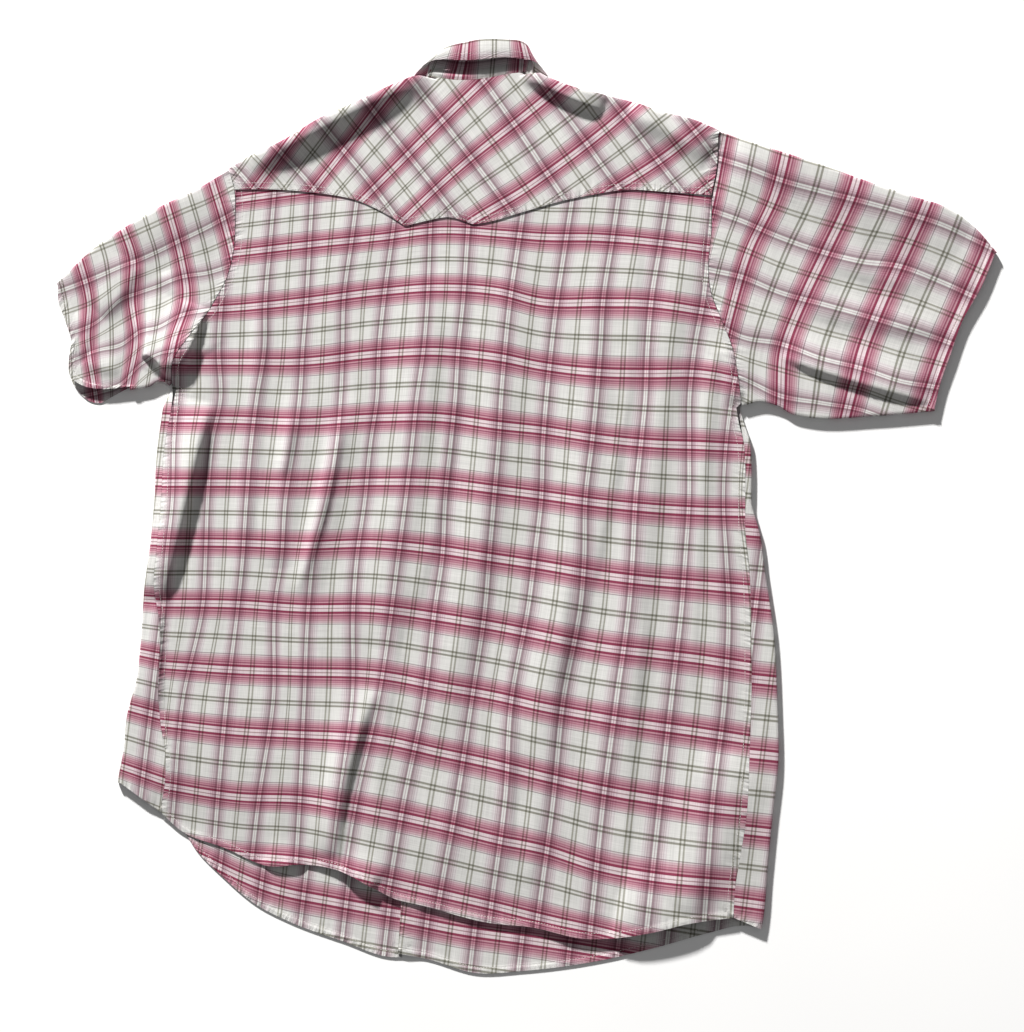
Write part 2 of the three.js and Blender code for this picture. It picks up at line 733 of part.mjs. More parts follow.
// An edge that runs down an armhole and on down a side, called with a row's share of the body
function bodyEdge(armhole, side, first) {
  return (v) => {
    const row = v * BODY_ROWS;
    return row <= ARMHOLE_ROWS ? armhole(armholeShare(row, first)) : side(sideShare(row));
  };
}

function addBackPanel() {
  const left = bodyEdge(shifted(lines.leftArmhole, SEAM_GAP), shifted(lines.leftSeam, SEAM_GAP),
    BACK_SHARE_OF_ARMHOLE);
  const right = bodyEdge(shifted(lines.rightArmhole, -SEAM_GAP), shifted(lines.rightSeam, -SEAM_GAP),
    BACK_SHARE_OF_ARMHOLE);
  const underYoke = shifted(lines.yokeEdge, YOKE_LAP);
  const plan = patch(left, right, underYoke, smoothLine(BACK_HEM));
  const points = [];
  for (let i = 0; i <= BODY_ROWS; i += 1) {
    const row = [];
    for (let j = 0; j <= BACK_COLUMNS; j += 1) {
      const place = plan(j / BACK_COLUMNS, i / BODY_ROWS);
      row.push(vector(place, upperMiddle(place.x, place.y)));
    }
    points.push(row);
  }
  addPiece('back_panel', wallGeometry(points), CLOTH);
}

// The share across a front at which its row stands a given distance from the closure's middle
function shareAtOffset(plan, v, offset) {
  let near = 0;
  let far = BENDS_END_SHARE;
  const sign = Math.sign(plan(far, v).x - plan(near, v).x);
  for (let k = 0; k < BEND_SEARCH_STEPS; k += 1) {
    const half = (near + far) / 2;
    const place = plan(half, v);
    if (sign * (place.x - placketMiddle(place.y) - offset) < 0) near = half;
    else far = half;
  }
  return near;
}

// One front: its flat lower layer, then the turn at the side and the strip that reaches the side
// seam on top. Beside the armhole there is no turn, and those columns lie flat. Its columns
// follow the bends beside the closure, then the neck, then the shoulder.
function addFront(name, front) {
  const { plan, armhole, side, seam, outwardSign, middle, bends, neckShare } = front;
  const points = [];
  const wrapColumns = TURN_COLUMNS + STRIP_COLUMNS;
  for (let i = 0; i <= BODY_ROWS; i += 1) {
    const v = i / BODY_ROWS;
    const row = [];
    const shares = [0, ...bends.map((offset) => shareAtOffset(plan, v, offset))];
    const bendEnd = shares[shares.length - 1];
    for (let j = 1; j <= NECK_COLUMNS; j += 1) shares.push(mix(bendEnd, neckShare, j / NECK_COLUMNS));
    for (let j = 1; j <= SHOULDER_COLUMNS; j += 1) shares.push(mix(neckShare, 1, j / SHOULDER_COLUMNS));
    for (const u of shares) {
      const place = plan(u, v);
      row.push(vector(place, middle(place.x, place.y)));
    }
    const base = plan(1, v);
    if (i <= ARMHOLE_ROWS) {
      const edge = armhole(armholeShare(i, SHOULDER_SHARE_OF_ARMHOLE));
      for (let k = 1; k <= wrapColumns; k += 1) {
        const place = mixPlace(base, edge, k / wrapColumns);
        row.push(vector(place, middle(place.x, place.y)));
      }
    } else {
      const share = sideShare(i);
      const toLeft = leftOf(side, share);
      const outward = { x: toLeft.x * outwardSign, y: toLeft.y * outwardSign };
      const low = middle(base.x, base.y);
      const high = upperMiddle(base.x, base.y);
      row.push(...turnPoints(base, outward, TURN_REACH, low, high, TURN_COLUMNS));
      const seamPlace = seam(share);
      for (let k = 1; k <= STRIP_COLUMNS; k += 1) {
        const place = mixPlace(base, seamPlace, k / STRIP_COLUMNS);
        row.push(vector(place, upperMiddle(place.x, place.y)));
      }
    }
    points.push(row);
  }
  addPiece(name, wallGeometry(points), CLOTH);
}

// The lower layer's outer edge: inside the armhole, then inside the side turn
function frontOuter(armhole, side, inwardSign) {
  return bodyEdge(shifted(armhole, inwardSign * FLAT_RIM), shifted(side, inwardSign * TURN_REACH),
    SHOULDER_SHARE_OF_ARMHOLE);
}

// The seam between a front and the yoke's strip that comes over the shoulder
function shoulderSeam(shoulder) {
  return shifted(shoulder, -(SHOULDER_TURN_REACH + SHOULDER_STRIP + SHOULDER_SEAM_GAP));
}

function addFronts() {
  const leftNeck = stretch(lines.frontNeck, LEFT_FRONT_NECK_SHARE, 0);
  const rightNeck = stretch(lines.frontNeck, RIGHT_FRONT_NECK_SHARE, 1);
  const leftTop = chain(leftNeck, stretch(shoulderSeam(lines.leftShoulder), 1, 0));
  const rightTop = chain(rightNeck, shoulderSeam(lines.rightShoulder));
  const leftPlan = patch(
    smoothLine(LEFT_FRONT_EDGE),
    frontOuter(lines.leftArmhole, lines.leftSide, 1),
    leftTop,
    stretch(smoothLine(LEFT_FRONT_HEM), 1, 0),
  );
  const rightPlan = patch(
    smoothLine(RIGHT_FRONT_EDGE),
    frontOuter(lines.rightArmhole, lines.rightSide, -1),
    rightTop,
    stretch(smoothLine(RIGHT_FRONT_HEM), 1, 0),
  );
  addFront('left_front', {
    plan: leftPlan,
    armhole: shifted(lines.leftArmhole, SEAM_GAP),
    side: lines.leftSide,
    seam: lines.leftSeam,
    outwardSign: -1,
    middle: lowerMiddle,
    bends: OUTER_FRONT_BENDS,
    neckShare: leftNeck.reach / leftTop.reach,
  });
  addFront('right_front', {
    plan: rightPlan,
    armhole: shifted(lines.rightArmhole, -SEAM_GAP),
    side: lines.rightSide,
    seam: lines.rightSeam,
    outwardSign: 1,
    middle: innerFrontMiddle,
    bends: INNER_FRONT_BENDS,
    neckShare: rightNeck.reach / rightTop.reach,
  });
}

// The yoke lies on the back panel and comes over both shoulders in a round turn
function addYoke() {
  const inset = -SHOULDER_TURN_REACH;
  const top = chain(
    shifted(lines.leftShoulder, inset),
    shifted(lines.backNeck, inset),
    shifted(lines.rightShoulder, inset),
  );
  const outside = chain(lines.leftShoulder, lines.backNeck, lines.rightShoulder);
  const neckFrom = lines.leftShoulder.reach / top.reach;
  const neckTo = 1 - lines.rightShoulder.reach / top.reach;
  const leftArmhole = shifted(lines.leftArmhole, SEAM_GAP);
  const rightArmhole = shifted(lines.rightArmhole, -SEAM_GAP);
  const leftEnd = stretch(leftArmhole, LEFT_YOKE_END_SHARE, TURN_SHARE_OF_ARMHOLE);
  const rightEnd = stretch(rightArmhole, RIGHT_YOKE_END_SHARE, TURN_SHARE_OF_ARMHOLE);
  const plan = patch(leftEnd, rightEnd, lines.yokeEdge, top);
  const yokeMiddle = (place) => upperMiddle(place.x, place.y) + YOKE_LIFT;
  const columns = [];
  for (let j = 0; j <= YOKE_COLUMNS; j += 1) {
    const u = j / YOKE_COLUMNS;
    const column = [];
    for (let i = 0; i <= YOKE_ROWS; i += 1) {
      const place = plan(u, i / YOKE_ROWS);
      column.push(vector(place, yokeMiddle(place)));
    }
    const base = plan(u, 1);
    const outward = leftOf(outside, u);
    const high = yokeMiddle(base);
    if (u > neckFrom && u < neckTo) {
      const wrapColumns = TURN_COLUMNS + STRIP_COLUMNS;
      for (let k = 1; k <= wrapColumns; k += 1) {
        const out = SHOULDER_TURN_REACH * k / wrapColumns;
        column.push(new THREE.Vector3(base.x + outward.x * out, base.y + outward.y * out, high));
      }
    } else {
      const low = lowerMiddle(base.x, base.y);
      column.push(...turnPoints(base, outward, SHOULDER_TURN_REACH, high, low, TURN_COLUMNS));
      for (let k = 1; k <= STRIP_COLUMNS; k += 1) {
        const inward = SHOULDER_STRIP * k / STRIP_COLUMNS;
        const place = { x: base.x - outward.x * inward, y: base.y - outward.y * inward };
        column.push(vector(place, lowerMiddle(place.x, place.y)));
      }
    }
    columns.push(column);
  }
  addPiece('back_yoke', wallGeometry(columns), YOKE_CLOTH);
}

// A sleeve is a flattened tube: the upper layer, the turn under the arm, the lower layer and the
// turn along its top
function addSleeve(name, table, armhole, topOutwardSign) {
  const top = smoothLine(table.top);
  const under = smoothLine(table.under);
  const clear = stretch(shifted(armhole, topOutwardSign * ARMHOLE_GAP), TURN_SHARE_OF_ARMHOLE,
    1 - TURN_SHARE_OF_ARMHOLE);
  const topInside = startedAt(shifted(top, -topOutwardSign * TURN_REACH), clear(0));
  const underInside = startedAt(shifted(under, topOutwardSign * TURN_REACH), clear(1));
  const upperPlan = patch(topInside, underInside, clear, smoothLine(table.upperHem));
  const lowerPlan = patch(topInside, underInside, clear, smoothLine(table.lowerHem));
  const rings = [];
  for (let i = 0; i <= SLEEVE_SECTIONS; i += 1) {
    const s = i / SLEEVE_SECTIONS;
    const ring = [];
    const topLeft = leftOf(top, s);
    const underLeft = leftOf(under, s);
    const topOut = { x: topLeft.x * topOutwardSign, y: topLeft.y * topOutwardSign };
    const underOut = { x: -underLeft.x * topOutwardSign, y: -underLeft.y * topOutwardSign };
    for (let j = 0; j <= ARMHOLE_ROWS; j += 1) {
      const place = upperPlan(j / ARMHOLE_ROWS, s);
      ring.push(vector(place, upperMiddle(place.x, place.y)));
    }
    const underBase = upperPlan(1, s);
    const topBase = upperPlan(0, s);
    ring.push(...turnPoints(underBase, underOut, TURN_REACH, upperMiddle(underBase.x, underBase.y),
      LOWER_MIDDLE, TURN_COLUMNS).slice(0, -1));
    for (let j = ARMHOLE_ROWS; j >= 0; j -= 1) {
      const place = lowerPlan(j / ARMHOLE_ROWS, s);
      ring.push(vector(place, LOWER_MIDDLE));
    }
    ring.push(...turnPoints(topBase, topOut, TURN_REACH, LOWER_MIDDLE,
      upperMiddle(topBase.x, topBase.y), TURN_COLUMNS).slice(0, -1));
    rings.push(ring);
  }
  addPiece(name, wallGeometry(rings, true), CLOTH);
}

function addCollar() {
  const stand = [];
  const fall = [];
  for (const section of COLLAR) {
    const seam = new THREE.Vector3(section.seamX, section.seamY, section.seamZ);
    const roll = new THREE.Vector3(section.rollX, section.rollY, section.rollZ);
    const run = new THREE.Vector3().subVectors(roll, seam).normalize();
    const foot = seam.clone().addScaledVector(run, COLLAR_GAP);
    const standRow = [];
    for (let k = 0; k <= STAND_COLUMNS; k += 1) standRow.push(foot.clone().lerp(roll, k / STAND_COLUMNS));
    stand.push(standRow);
    if (!section.fall) continue;
    const start = roll.clone().addScaledVector(run, WALL);
    start.z += section.turn * FALL_STEP;
    if (section.turn === 0) start.x += FALL_STEP * Math.sign(section.edgeX - section.rollX);
    const edge = new THREE.Vector3(section.edgeX, section.edgeY, section.edgeZ);
    const fallRow = [];
    for (let k = 0; k <= FALL_COLUMNS; k += 1) {
      const t = k / FALL_COLUMNS;
      const place = start.clone().lerp(edge, t);
      if (section.turn < 0) place.z = mix(start.z, edge.z, smoothStep(0, WING_DROP_SHARE, t));
      place.z += section.bulge * Math.sin(Math.PI * t);
      fallRow.push(place);
    }
    fall.push(fallRow);
  }
  addPiece('collar_stand', wallGeometry(stand), CLOTH);
  addPiece('collar_fall', wallGeometry(fall), CLOTH);
}

// A snap's pearl cap, lying face down under the outer front
function snapGeometry() {
  const profile = [
    [0, 0],
    [SNAP_RADIUS - SNAP_RIM_WIDTH, 0],
    [SNAP_RADIUS, SNAP_RIM_HEIGHT],
    [SNAP_RADIUS, SNAP_THICKNESS],
    [0, SNAP_THICKNESS],
  ].map(([radius, height]) => new THREE.Vector2(radius, height));
  const geometry = new THREE.LatheGeometry(profile, SNAP_SIDES);
  geometry.rotateX(Math.PI / 2);
  geometry.deleteAttribute('normal');
  geometry.deleteAttribute('uv');
  return mergeVertices(geometry, 1e-4);
}

function addSnaps() {
  for (let i = 0; i < SNAP_COUNT; i += 1) {
    const y = LEFT_FRONT_EDGE[0].y - TOP_SNAP_BELOW_NECK - i * SNAP_PITCH;
    const snap = addPiece(`snap_${i + 1}`, snapGeometry(), PEARL);
    snap.position.set(placketMiddle(y), y, 0);
  }
}

addBackPanel();
addYoke();
addFronts();
addSleeve('left_sleeve', LEFT_SLEEVE, lines.leftArmhole, -1);
addSleeve('right_sleeve', RIGHT_SLEEVE, lines.rightArmhole, 1);
addCollar();
addSnaps();

// The origin is the middle of the laid shirt, on the surface that it lies on
const extent = new THREE.Box3().setFromObject(shirt);
shirt.position.set(-(extent.min.x + extent.max.x) / 2, -(extent.min.y + extent.max.y) / 2, -extent.min.z);

export default shirt;
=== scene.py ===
"""A short-sleeved plaid western snap shirt, laid flat with its back up, seen from straight above."""
import math
import bpy
import numpy as np
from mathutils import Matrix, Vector


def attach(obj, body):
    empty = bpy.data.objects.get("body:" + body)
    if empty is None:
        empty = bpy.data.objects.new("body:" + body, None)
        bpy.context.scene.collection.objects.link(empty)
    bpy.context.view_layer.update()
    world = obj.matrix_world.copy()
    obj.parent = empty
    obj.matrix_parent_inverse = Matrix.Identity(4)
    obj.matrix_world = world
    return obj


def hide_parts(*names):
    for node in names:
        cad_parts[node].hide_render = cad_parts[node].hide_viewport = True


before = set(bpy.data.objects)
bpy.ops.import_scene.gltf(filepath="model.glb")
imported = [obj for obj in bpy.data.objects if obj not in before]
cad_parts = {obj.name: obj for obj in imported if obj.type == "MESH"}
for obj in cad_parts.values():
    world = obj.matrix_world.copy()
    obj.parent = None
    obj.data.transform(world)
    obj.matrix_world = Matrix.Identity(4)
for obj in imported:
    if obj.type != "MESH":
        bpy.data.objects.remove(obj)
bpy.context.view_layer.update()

MM = 0.001
CENTRE_X, CENTRE_Y = 0.51, 1.47

# The view's frame: its left and top edge are this far from the tables' origin, and it is this large
VIEW_LEFT, VIEW_TOP = 526.0, 508.0
VIEW_WIDTH, VIEW_HEIGHT = 1024.0, 1032.0
CAMERA_HEIGHT = 3.0

# Thicknesses, gaps and heights of the laid cloth, in millimetres
CLOTH = 0.6
SEAM_GAP = 0.2
ARMHOLE_GAP = 0.4
LOWER_MIDDLE = 0.5
UPPER_MIDDLE = 5.4
TURN_REACH = 3.2
SHOULDER_TURN_REACH = 4.5
SHOULDER_STRIP = 9.0
SHOULDER_SEAM_GAP = 0.8
YOKE_LAP = 14.0
YOKE_LIFT = 1.1
COLLAR_GAP = 0.9
COLLAR_WALL = 0.9
COLLAR_TUCK, COLLAR_SINK, COLLAR_SINK_SHARE = 2.5, 1.7, 0.3
# Behind the neck the stand sinks by this many times its own rise, between these shares of its width,
# and closes up under the fall at its end
STAND_SAG, STAND_DROP_START, STAND_DROP_END, STAND_CLIMB_START = 1.9, 0.1, 0.36, 0.7
STAND_CLOSE, STAND_CLOSE_START = 0.8, 0.8
FALL_LAP, CORNER_STEP = 0.8, 0.5
FALL_STEP = 1.4
WING_DROP_SHARE = 0.4
PLACKET_LIFT = 1.9
PLACKET_FLAT_HALF, PLACKET_SLOPE_END, PLACKET_STEP = 14.5, 30.0, 1.5
LAP_FLAT, LAP_SLOPE_END = 3.0, 20.0
SNAP_COUNT, SNAP_PITCH, TOP_SNAP_BELOW_NECK, SNAPS_END = 7, 95.0, 20.0, -275.0
HEM_WIDTH, HEM_RISE, HEM_EDGE_HALF = 7.0, 0.6, 0.5
STITCH_INSET, STITCH_DENT_WIDTH, STITCH_DENT_DEPTH = 5.9, 0.7, 0.6

# Outlines in plan, in millimetres from the shirt's own origin: the same as the solids'
LEFT_SIDE = [(-355, 120), (-361, 106), (-364, 88), (-368, 58), (-371, 2), (-375, -41), (-381, -82),
             (-383, -112), (-385, -140), (-389, -172), (-398, -206), (-402, -243), (-408, -274)]
LEFT_SEAM = [(-349, 120), (-356, 88), (-361, 58), (-364, 2), (-368, -41), (-371, -82), (-366, -112),
             (-365, -140), (-367, -180), (-365, -215), (-360, -248), (-361, -277), (-366, -303)]
RIGHT_SIDE = [(216, 100), (219, 83), (223, 68), (225, 43), (225, 18), (225, 4), (228, -7), (233, -24),
              (238, -60), (247, -123), (251, -197), (252, -251), (246, -308), (241, -362),
              (237, -409), (235, -420)]
RIGHT_SEAM = [(210, 100), (213, 83), (217, 68), (219, 43), (219, 18), (219, 1), (219, -21), (223, -60),
              (225, -136), (225, -197), (223, -251), (220, -308), (214, -347), (209, -378), (207, -409)]
LEFT_ARMHOLE = [(-296, 337), (-291, 318), (-290, 292), (-293, 250), (-299, 229), (-309, 210),
                (-321, 190), (-337, 169), (-352, 144), (-354, 122)]
RIGHT_ARMHOLE = [(192, 376), (190, 337), (186, 316), (185, 276), (182, 239), (184, 218), (195, 188),
                 (205, 163), (212, 129), (215, 102)]
LEFT_SHOULDER = [(-296, 339), (-278, 350), (-255, 360), (-237, 369), (-206, 388), (-167, 406),
                 (-142, 418), (-113, 431)]
RIGHT_SHOULDER = [(20, 430), (46, 420), (71, 414), (113, 403), (134, 395), (161, 389), (192, 377)]
BACK_NECK = [(-106, 432), (-90, 431), (-74, 428), (-52, 428), (-36, 430), (-15, 434), (3, 435), (14, 434)]
FRONT_NECK = [(-106, 414), (-104, 392), (-93, 360), (-71, 342), (-44, 337), (-17, 343), (4, 366),
              (12, 392), (14, 414)]
# The yoke's edge in its three sweeps, which meet in the two points
YOKE_EDGE = [[(-290, 316), (-250, 316), (-211, 313), (-167, 305), (-139, 292), (-120, 280)],
             [(-120, 280), (-100, 285), (-76, 289), (-52, 282)],
             [(-52, 282), (-39, 284), (-4, 294), (38, 306), (67, 312), (101, 317), (140, 315), (186, 312)]]
BACK_HEM = [(-366, -303), (-344, -323), (-303, -339), (-254, -358), (-227, -356), (-181, -364),
            (-155, -378), (-132, -390), (-100, -398), (-39, -414), (7, -419), (58, -430), (122, -424),
            (160, -415), (207, -409)]
LEFT_FRONT_HEM = [(-408, -275), (-378, -296), (-344, -324), (-331, -343), (-308, -366), (-269, -398),
                  (-239, -413), (-184, -433), (-133, -449), (-124, -449)]
RIGHT_FRONT_HEM = [(235, -420), (221, -418), (186, -425), (135, -439), (84, -451), (43, -458),
                   (-3, -463), (-49, -465), (-98, -451), (-128, -445)]
LEFT_FRONT_EDGE = [(-31, 340), (-60, 100), (-95, -200), (-124, -449)]
RIGHT_FRONT_EDGE = [(-59, 340), (-85, 100), (-112, -200), (-128, -445)]
LEFT_SLEEVE = {
    "top": [(-297, 338), (-329, 318), (-362, 302), (-403, 278), (-423, 265), (-469, 224)],
    "under": [(-356, 122), (-361, 126), (-378, 121), (-395, 118)],
    "upper_hem": [(-469, 224), (-469, 210), (-461, 187), (-455, 166), (-457, 149), (-455, 130),
                  (-441, 120), (-428, 117), (-395, 118)],
    "lower_hem": [(-469, 224), (-469, 210), (-461, 187), (-455, 166), (-457, 149), (-455, 127),
                  (-446, 113), (-436, 105), (-425, 103), (-415, 108), (-395, 118)],
}
RIGHT_SLEEVE = {
    "top": [(193, 376), (225, 365), (286, 345), (348, 323), (388, 310), (419, 300), (446, 282), (470, 255)],
    "under": [(217, 102), (235, 106), (252, 102), (266, 94), (280, 91), (348, 92), (408, 97)],
    "upper_hem": [(470, 255), (458, 225), (435, 182), (431, 171), (425, 153), (415, 125), (408, 97)],
    "lower_hem": [(470, 255), (458, 225), (435, 182), (431, 171), (425, 153), (415, 125), (408, 97)],
}

# Folds of the upper layer: from the first place by the second to the third, the height of the ridge
# (below 0 a trough), and how far it falls away to the left and to the right of its run
MAIN_FOLDS = [
    # x1, y1, x2, y2, x3, y3, height, left, right
    (-280, 338, -190, 389, -98, 432, 11, 60, 14),
    (-4, 434, 34, 414, 78, 397, 9, 45, 6),
    (102, 396, 142, 378, 184, 350, 6.5, 30, 13),
    (-317, 104, -340, 5, -364, -94, 11, 6, 26),
    (-174, 120, -200, 0, -226, -90, 3, 14, 9),
    (-228, 120, -238, 20, -250, -60, 3, 16, 16),
    (-150, -180, -180, -270, -190, -350, 6, 5, 20),
    (-92, 240, -110, 60, -150, -140, 4, 18, 26),
    (-20, 240, -40, 0, -95, -260, 3, 18, 24),
    (70, 260, 55, 0, -15, -300, 3, 16, 22),
    (150, 260, 120, 0, 80, -300, 3, 16, 22),
    (205, -240, 190, -330, 150, -400, 5, 26, 36),
    (90, -400, 130, -405, 180, -400, 6, 40, 60),
    (255, 152, 322, 128, 405, 106, 6, 26, 4),
    (206, 362, 310, 328, 440, 274, 6, 30, 40),
    (-302, 330, -380, 286, -458, 228, 4.5, 38, 30),
    (-388, 246, -404, 216, -424, 192, 3.5, 9, 22),
    (-384, 152, -370, 149, -355, 130, 8, 40, 3),
]
FINE_FOLDS = [
    (-362, -92, -366, -140, -364, -200, 3.0, 3, 12),
    (-182, 92, -198, 10, -228, -84, 3.0, 3, 12),
    (-231, 92, -236, 60, -242, 30, 2.4, 3, 9),
    (-262, 230, -268, 90, -290, -110, 1.8, 6, 14),
    (-60, 250, -76, 60, -120, -120, 1.6, 6, 14),
    (110, 300, 92, 60, 30, -180, 1.8, 7, 16),
    (190, 170, 176, 20, 160, -200, 1.8, 7, 14),
    (-18, -120, -13, -250, -22, -370, 1.8, 4, 12),
    (-120, -60, -140, -200, -152, -330, 1.6, 6, 14),
    (40, -60, 26, -220, 0, -380, 1.6, 6, 16),
    (120, -100, 104, -250, 96, -390, 1.6, 6, 16),
    (196, 165, 208, 134, 214, 106, 3.0, 3, 8),
    (182, 150, 196, 126, 208, 104, 2.0, 3, 6),
    (-320, 200, -333, 165, -350, 124, 6.5, 4, 30),
    (-440, 150, -425, 142, -404, 140, 2.5, 14, 8),
    (-448, 196, -440, 172, -446, 150, 1.6, 6, 12),
    (-362, 236, -350, 214, -334, 196, 2.5, 8, 6),
    (300, 250, 340, 236, 400, 222, 2.0, 14, 10),
    (280, 205, 330, 188, 420, 176, 2.5, 16, 10),
    (-385, -300, -290, -345, -190, -372, -4.0, 50, 50),
    (-160, -378, -60, -405, 40, -420, -2.2, 50, 50),
    (-262, -352, -242, -356, -222, -355, 3.2, 15, 9),
    (-186, -366, -168, -372, -150, -381, 5.0, 20, 14),
]
FOLD_STEPS = 8

# Where the plaid's lines run, in millimetres across and down from the view's top left corner.
# On the back, the crosswise red bands: how far down each is at the stations across.
BACK_WEFT_ACROSS = (150, 240, 300, 380, 440, 500, 540, 600, 650, 700, 745)
BACK_WEFT_DOWN = [
    (215, 200, 192, 184, 177, 180, 183, 184, 188, 194, 200),
    (262, 253, 246, 238, 231, 234, 237, 238, 242, 248, 254),
    (312, 308, 302, 292, 288, 292, 302, 303, 304, 311, 318),
    (362, 362, 362, 354, 352, 358, 366, 373, 374, 374, 382),
    (419, 420, 422, 418, 418, 426, 430, 439, 444, 446, 448),
    (483, 483, 484, 482, 483, 490, 495, 503, 508, 511, 512),
    (542, 543, 545, 544, 550, 559, 565, 575, 581, 585, 589),
    (603, 604, 608, 609, 617, 627, 635, 647, 653, 659, 666),
    (664, 670, 672, 675, 686, 697, 706, 717, 725, 732, 739),
    (721, 731, 734, 739, 752, 765, 775, 789, 798, 806, 811),
    (783, 797, 799, 812, 825, 840, 848, 867, 876, 881, 885),
    (840, 855, 860, 879, 893, 907, 917, 930, 942, 950, 956),
]
# The lengthwise white double stripes: how far across each is at the stations down
BACK_WARP_DOWN = (240, 300, 350, 400, 440, 500, 560, 600, 700, 800, 900)
BACK_WARP_ACROSS = [
    (193, 185, 180, 177, 175, 174, 168, 165, 157, 149, 141),
    (229, 222, 219, 221, 213, 208, 206, 204, 183, 174, 165),
    (271, 266, 265, 257, 252, 247, 243, 239, 227, 218, 210),
    (310, 307, 303, 300, 295, 286, 282, 276, 274, 259, 247),
    (352, 344, 343, 341, 338, 328, 313, 309, 304, 300, 294),
    (392, 384, 379, 377, 371, 365, 357, 354, 353, 340, 328),
    (430, 428, 424, 417, 413, 406, 398, 393, 378, 356, 340),
    (467, 463, 458, 455, 451, 445, 442, 436, 424, 404, 387),
    (519, 510, 505, 501, 499, 494, 489, 486, 472, 457, 439),
    (566, 557, 551, 546, 543, 541, 534, 529, 511, 505, 492),
    (612, 603, 600, 596, 592, 585, 584, 581, 563, 553, 540),
    (661, 651, 647, 645, 641, 635, 632, 629, 616, 603, 593),
    (709, 703, 694, 689, 689, 689, 685, 682, 671, 660, 649),
    (756, 748, 740, 731, 726, 723, 726, 728, 724, 712, 705),
]
# The yoke is cut on the bias, so both families of lines run aslant over it
YOKE_WARP_DOWN = (80, 130, 180, 230)
YOKE_WARP_ACROSS = [
    (151, 197, 246, 285), (213, 258, 306, 345), (282, 326, 368, 405), (348, 388, 428, 467),
    (410, 449, 487, 524), (483, 518, 551, 585), (537, 576, 612, 652), (595, 634, 672, 712),
    (652, 692, 731, 771),
]
YOKE_WEFT_ACROSS = (250, 320, 390, 460, 530, 600, 670, 730)
YOKE_WEFT_DOWN = [
    (196, 106, 20, -50, -110, -170, -230, -280),
    (272, 183, 95, 20, -40, -100, -155, -200),
    (325, 245, 174, 105, 40, -20, -75, -120),
    (375, 300, 233, 168, 112, 55, 0, -45),
    (425, 355, 290, 230, 187, 135, 75, 30),
    (480, 415, 355, 300, 245, 199, 154, 105),
    (540, 475, 415, 365, 312, 262, 215, 170),
    (600, 535, 475, 425, 375, 325, 278, 235),
]
RIGHT_SLEEVE_WEFT_DOWN = (140, 200, 250, 300, 350, 400)
RIGHT_SLEEVE_WEFT_ACROSS = [
    (722, 711, 700, 690, 683, 680), (788, 772, 748, 733, 722, 719), (866, 849, 826, 802, 783, 780),
    (946, 927, 905, 882, 862, 849), (1020, 1003, 987, 965, 943, 925),
]
RIGHT_SLEEVE_WARP_ACROSS = (712, 740, 780, 820, 860, 900, 940, 990)
RIGHT_SLEEVE_WARP_DOWN = [
    (103, 112, 126, 139, 150, 161, 173, 194), (157, 166, 181, 192, 202, 213, 225, 248),
    (211, 221, 238, 252, 262, 267, 282, 305), (271, 277, 293, 304, 315, 327, 340, 360),
    (322, 337, 344, 359, 369, 382, 388, 400), (370, 378, 396, 403, 410, 425, 440, 455),
]
LEFT_SLEEVE_WEFT_DOWN = (180, 220, 260, 300, 340, 380)
LEFT_SLEEVE_WEFT_ACROSS = [
    (2, 18, 30, 42, 52, 50), (56, 66, 80, 90, 88, 94), (108, 121, 134, 132, 137, 130),
    (160, 172, 182, 187, 175, 168), (212, 224, 234, 240, 240, 240),
]
LEFT_SLEEVE_WARP_ACROSS = (60, 100, 122, 140, 160, 180, 210, 235)
LEFT_SLEEVE_WARP_DOWN = [
    (240, 222, 213, 204, 195, 186, 176, 162), (292, 277, 268, 261, 252, 242, 227, 213),
    (338, 321, 300, 293, 286, 278, 273, 265), (366, 350, 345, 333, 328, 317, 310, 303),
    (400, 392, 384, 366, 355, 351, 346, 340),
]
# The fronts' bands at the side strips and where they show below the back's hem
LEFT_FRONT_WEFT_ACROSS = (130, 200, 264, 340, 400, 460)
LEFT_FRONT_WEFT_DOWN = [
    (417, 419, 420, 422, 424, 426), (482, 483, 485, 488, 491, 494), (541, 543, 547, 554, 560, 566),
    (598, 603, 611, 622, 630, 636), (650, 664, 678, 690, 700, 708), (707, 726, 744, 758, 768, 776),
    (769, 793, 814, 830, 838, 846), (822, 857, 886, 903, 914, 924), (880, 925, 958, 976, 988, 998),
]
RIGHT_FRONT_WEFT_ACROSS = (400, 458, 520, 590, 680, 765)
RIGHT_FRONT_WEFT_DOWN = [
    (500, 508, 514, 520, 526, 533), (560, 572, 580, 588, 596, 605), (635, 645, 654, 662, 671, 680),
    (705, 716, 726, 736, 746, 755), (775, 788, 799, 810, 822, 832), (848, 859, 869, 880, 893, 905),
    (918, 930, 939, 950, 966, 980), (990, 1001, 1010, 1021, 1037, 1050),
]
FRONT_WARP_SLANT = 0.118
LEFT_FRONT_WARP_START, LEFT_FRONT_WARP_PITCH = 259.0, 43.5
RIGHT_FRONT_WARP_START, RIGHT_FRONT_WARP_PITCH = 429.0, 48.5
FRONT_WARP_LEVEL = 905.0
COLLAR_WEFT_START, COLLAR_WEFT_PITCH, COLLAR_WARP_START, COLLAR_WARP_PITCH = 466.0, 58.0, 0.53, 50.0

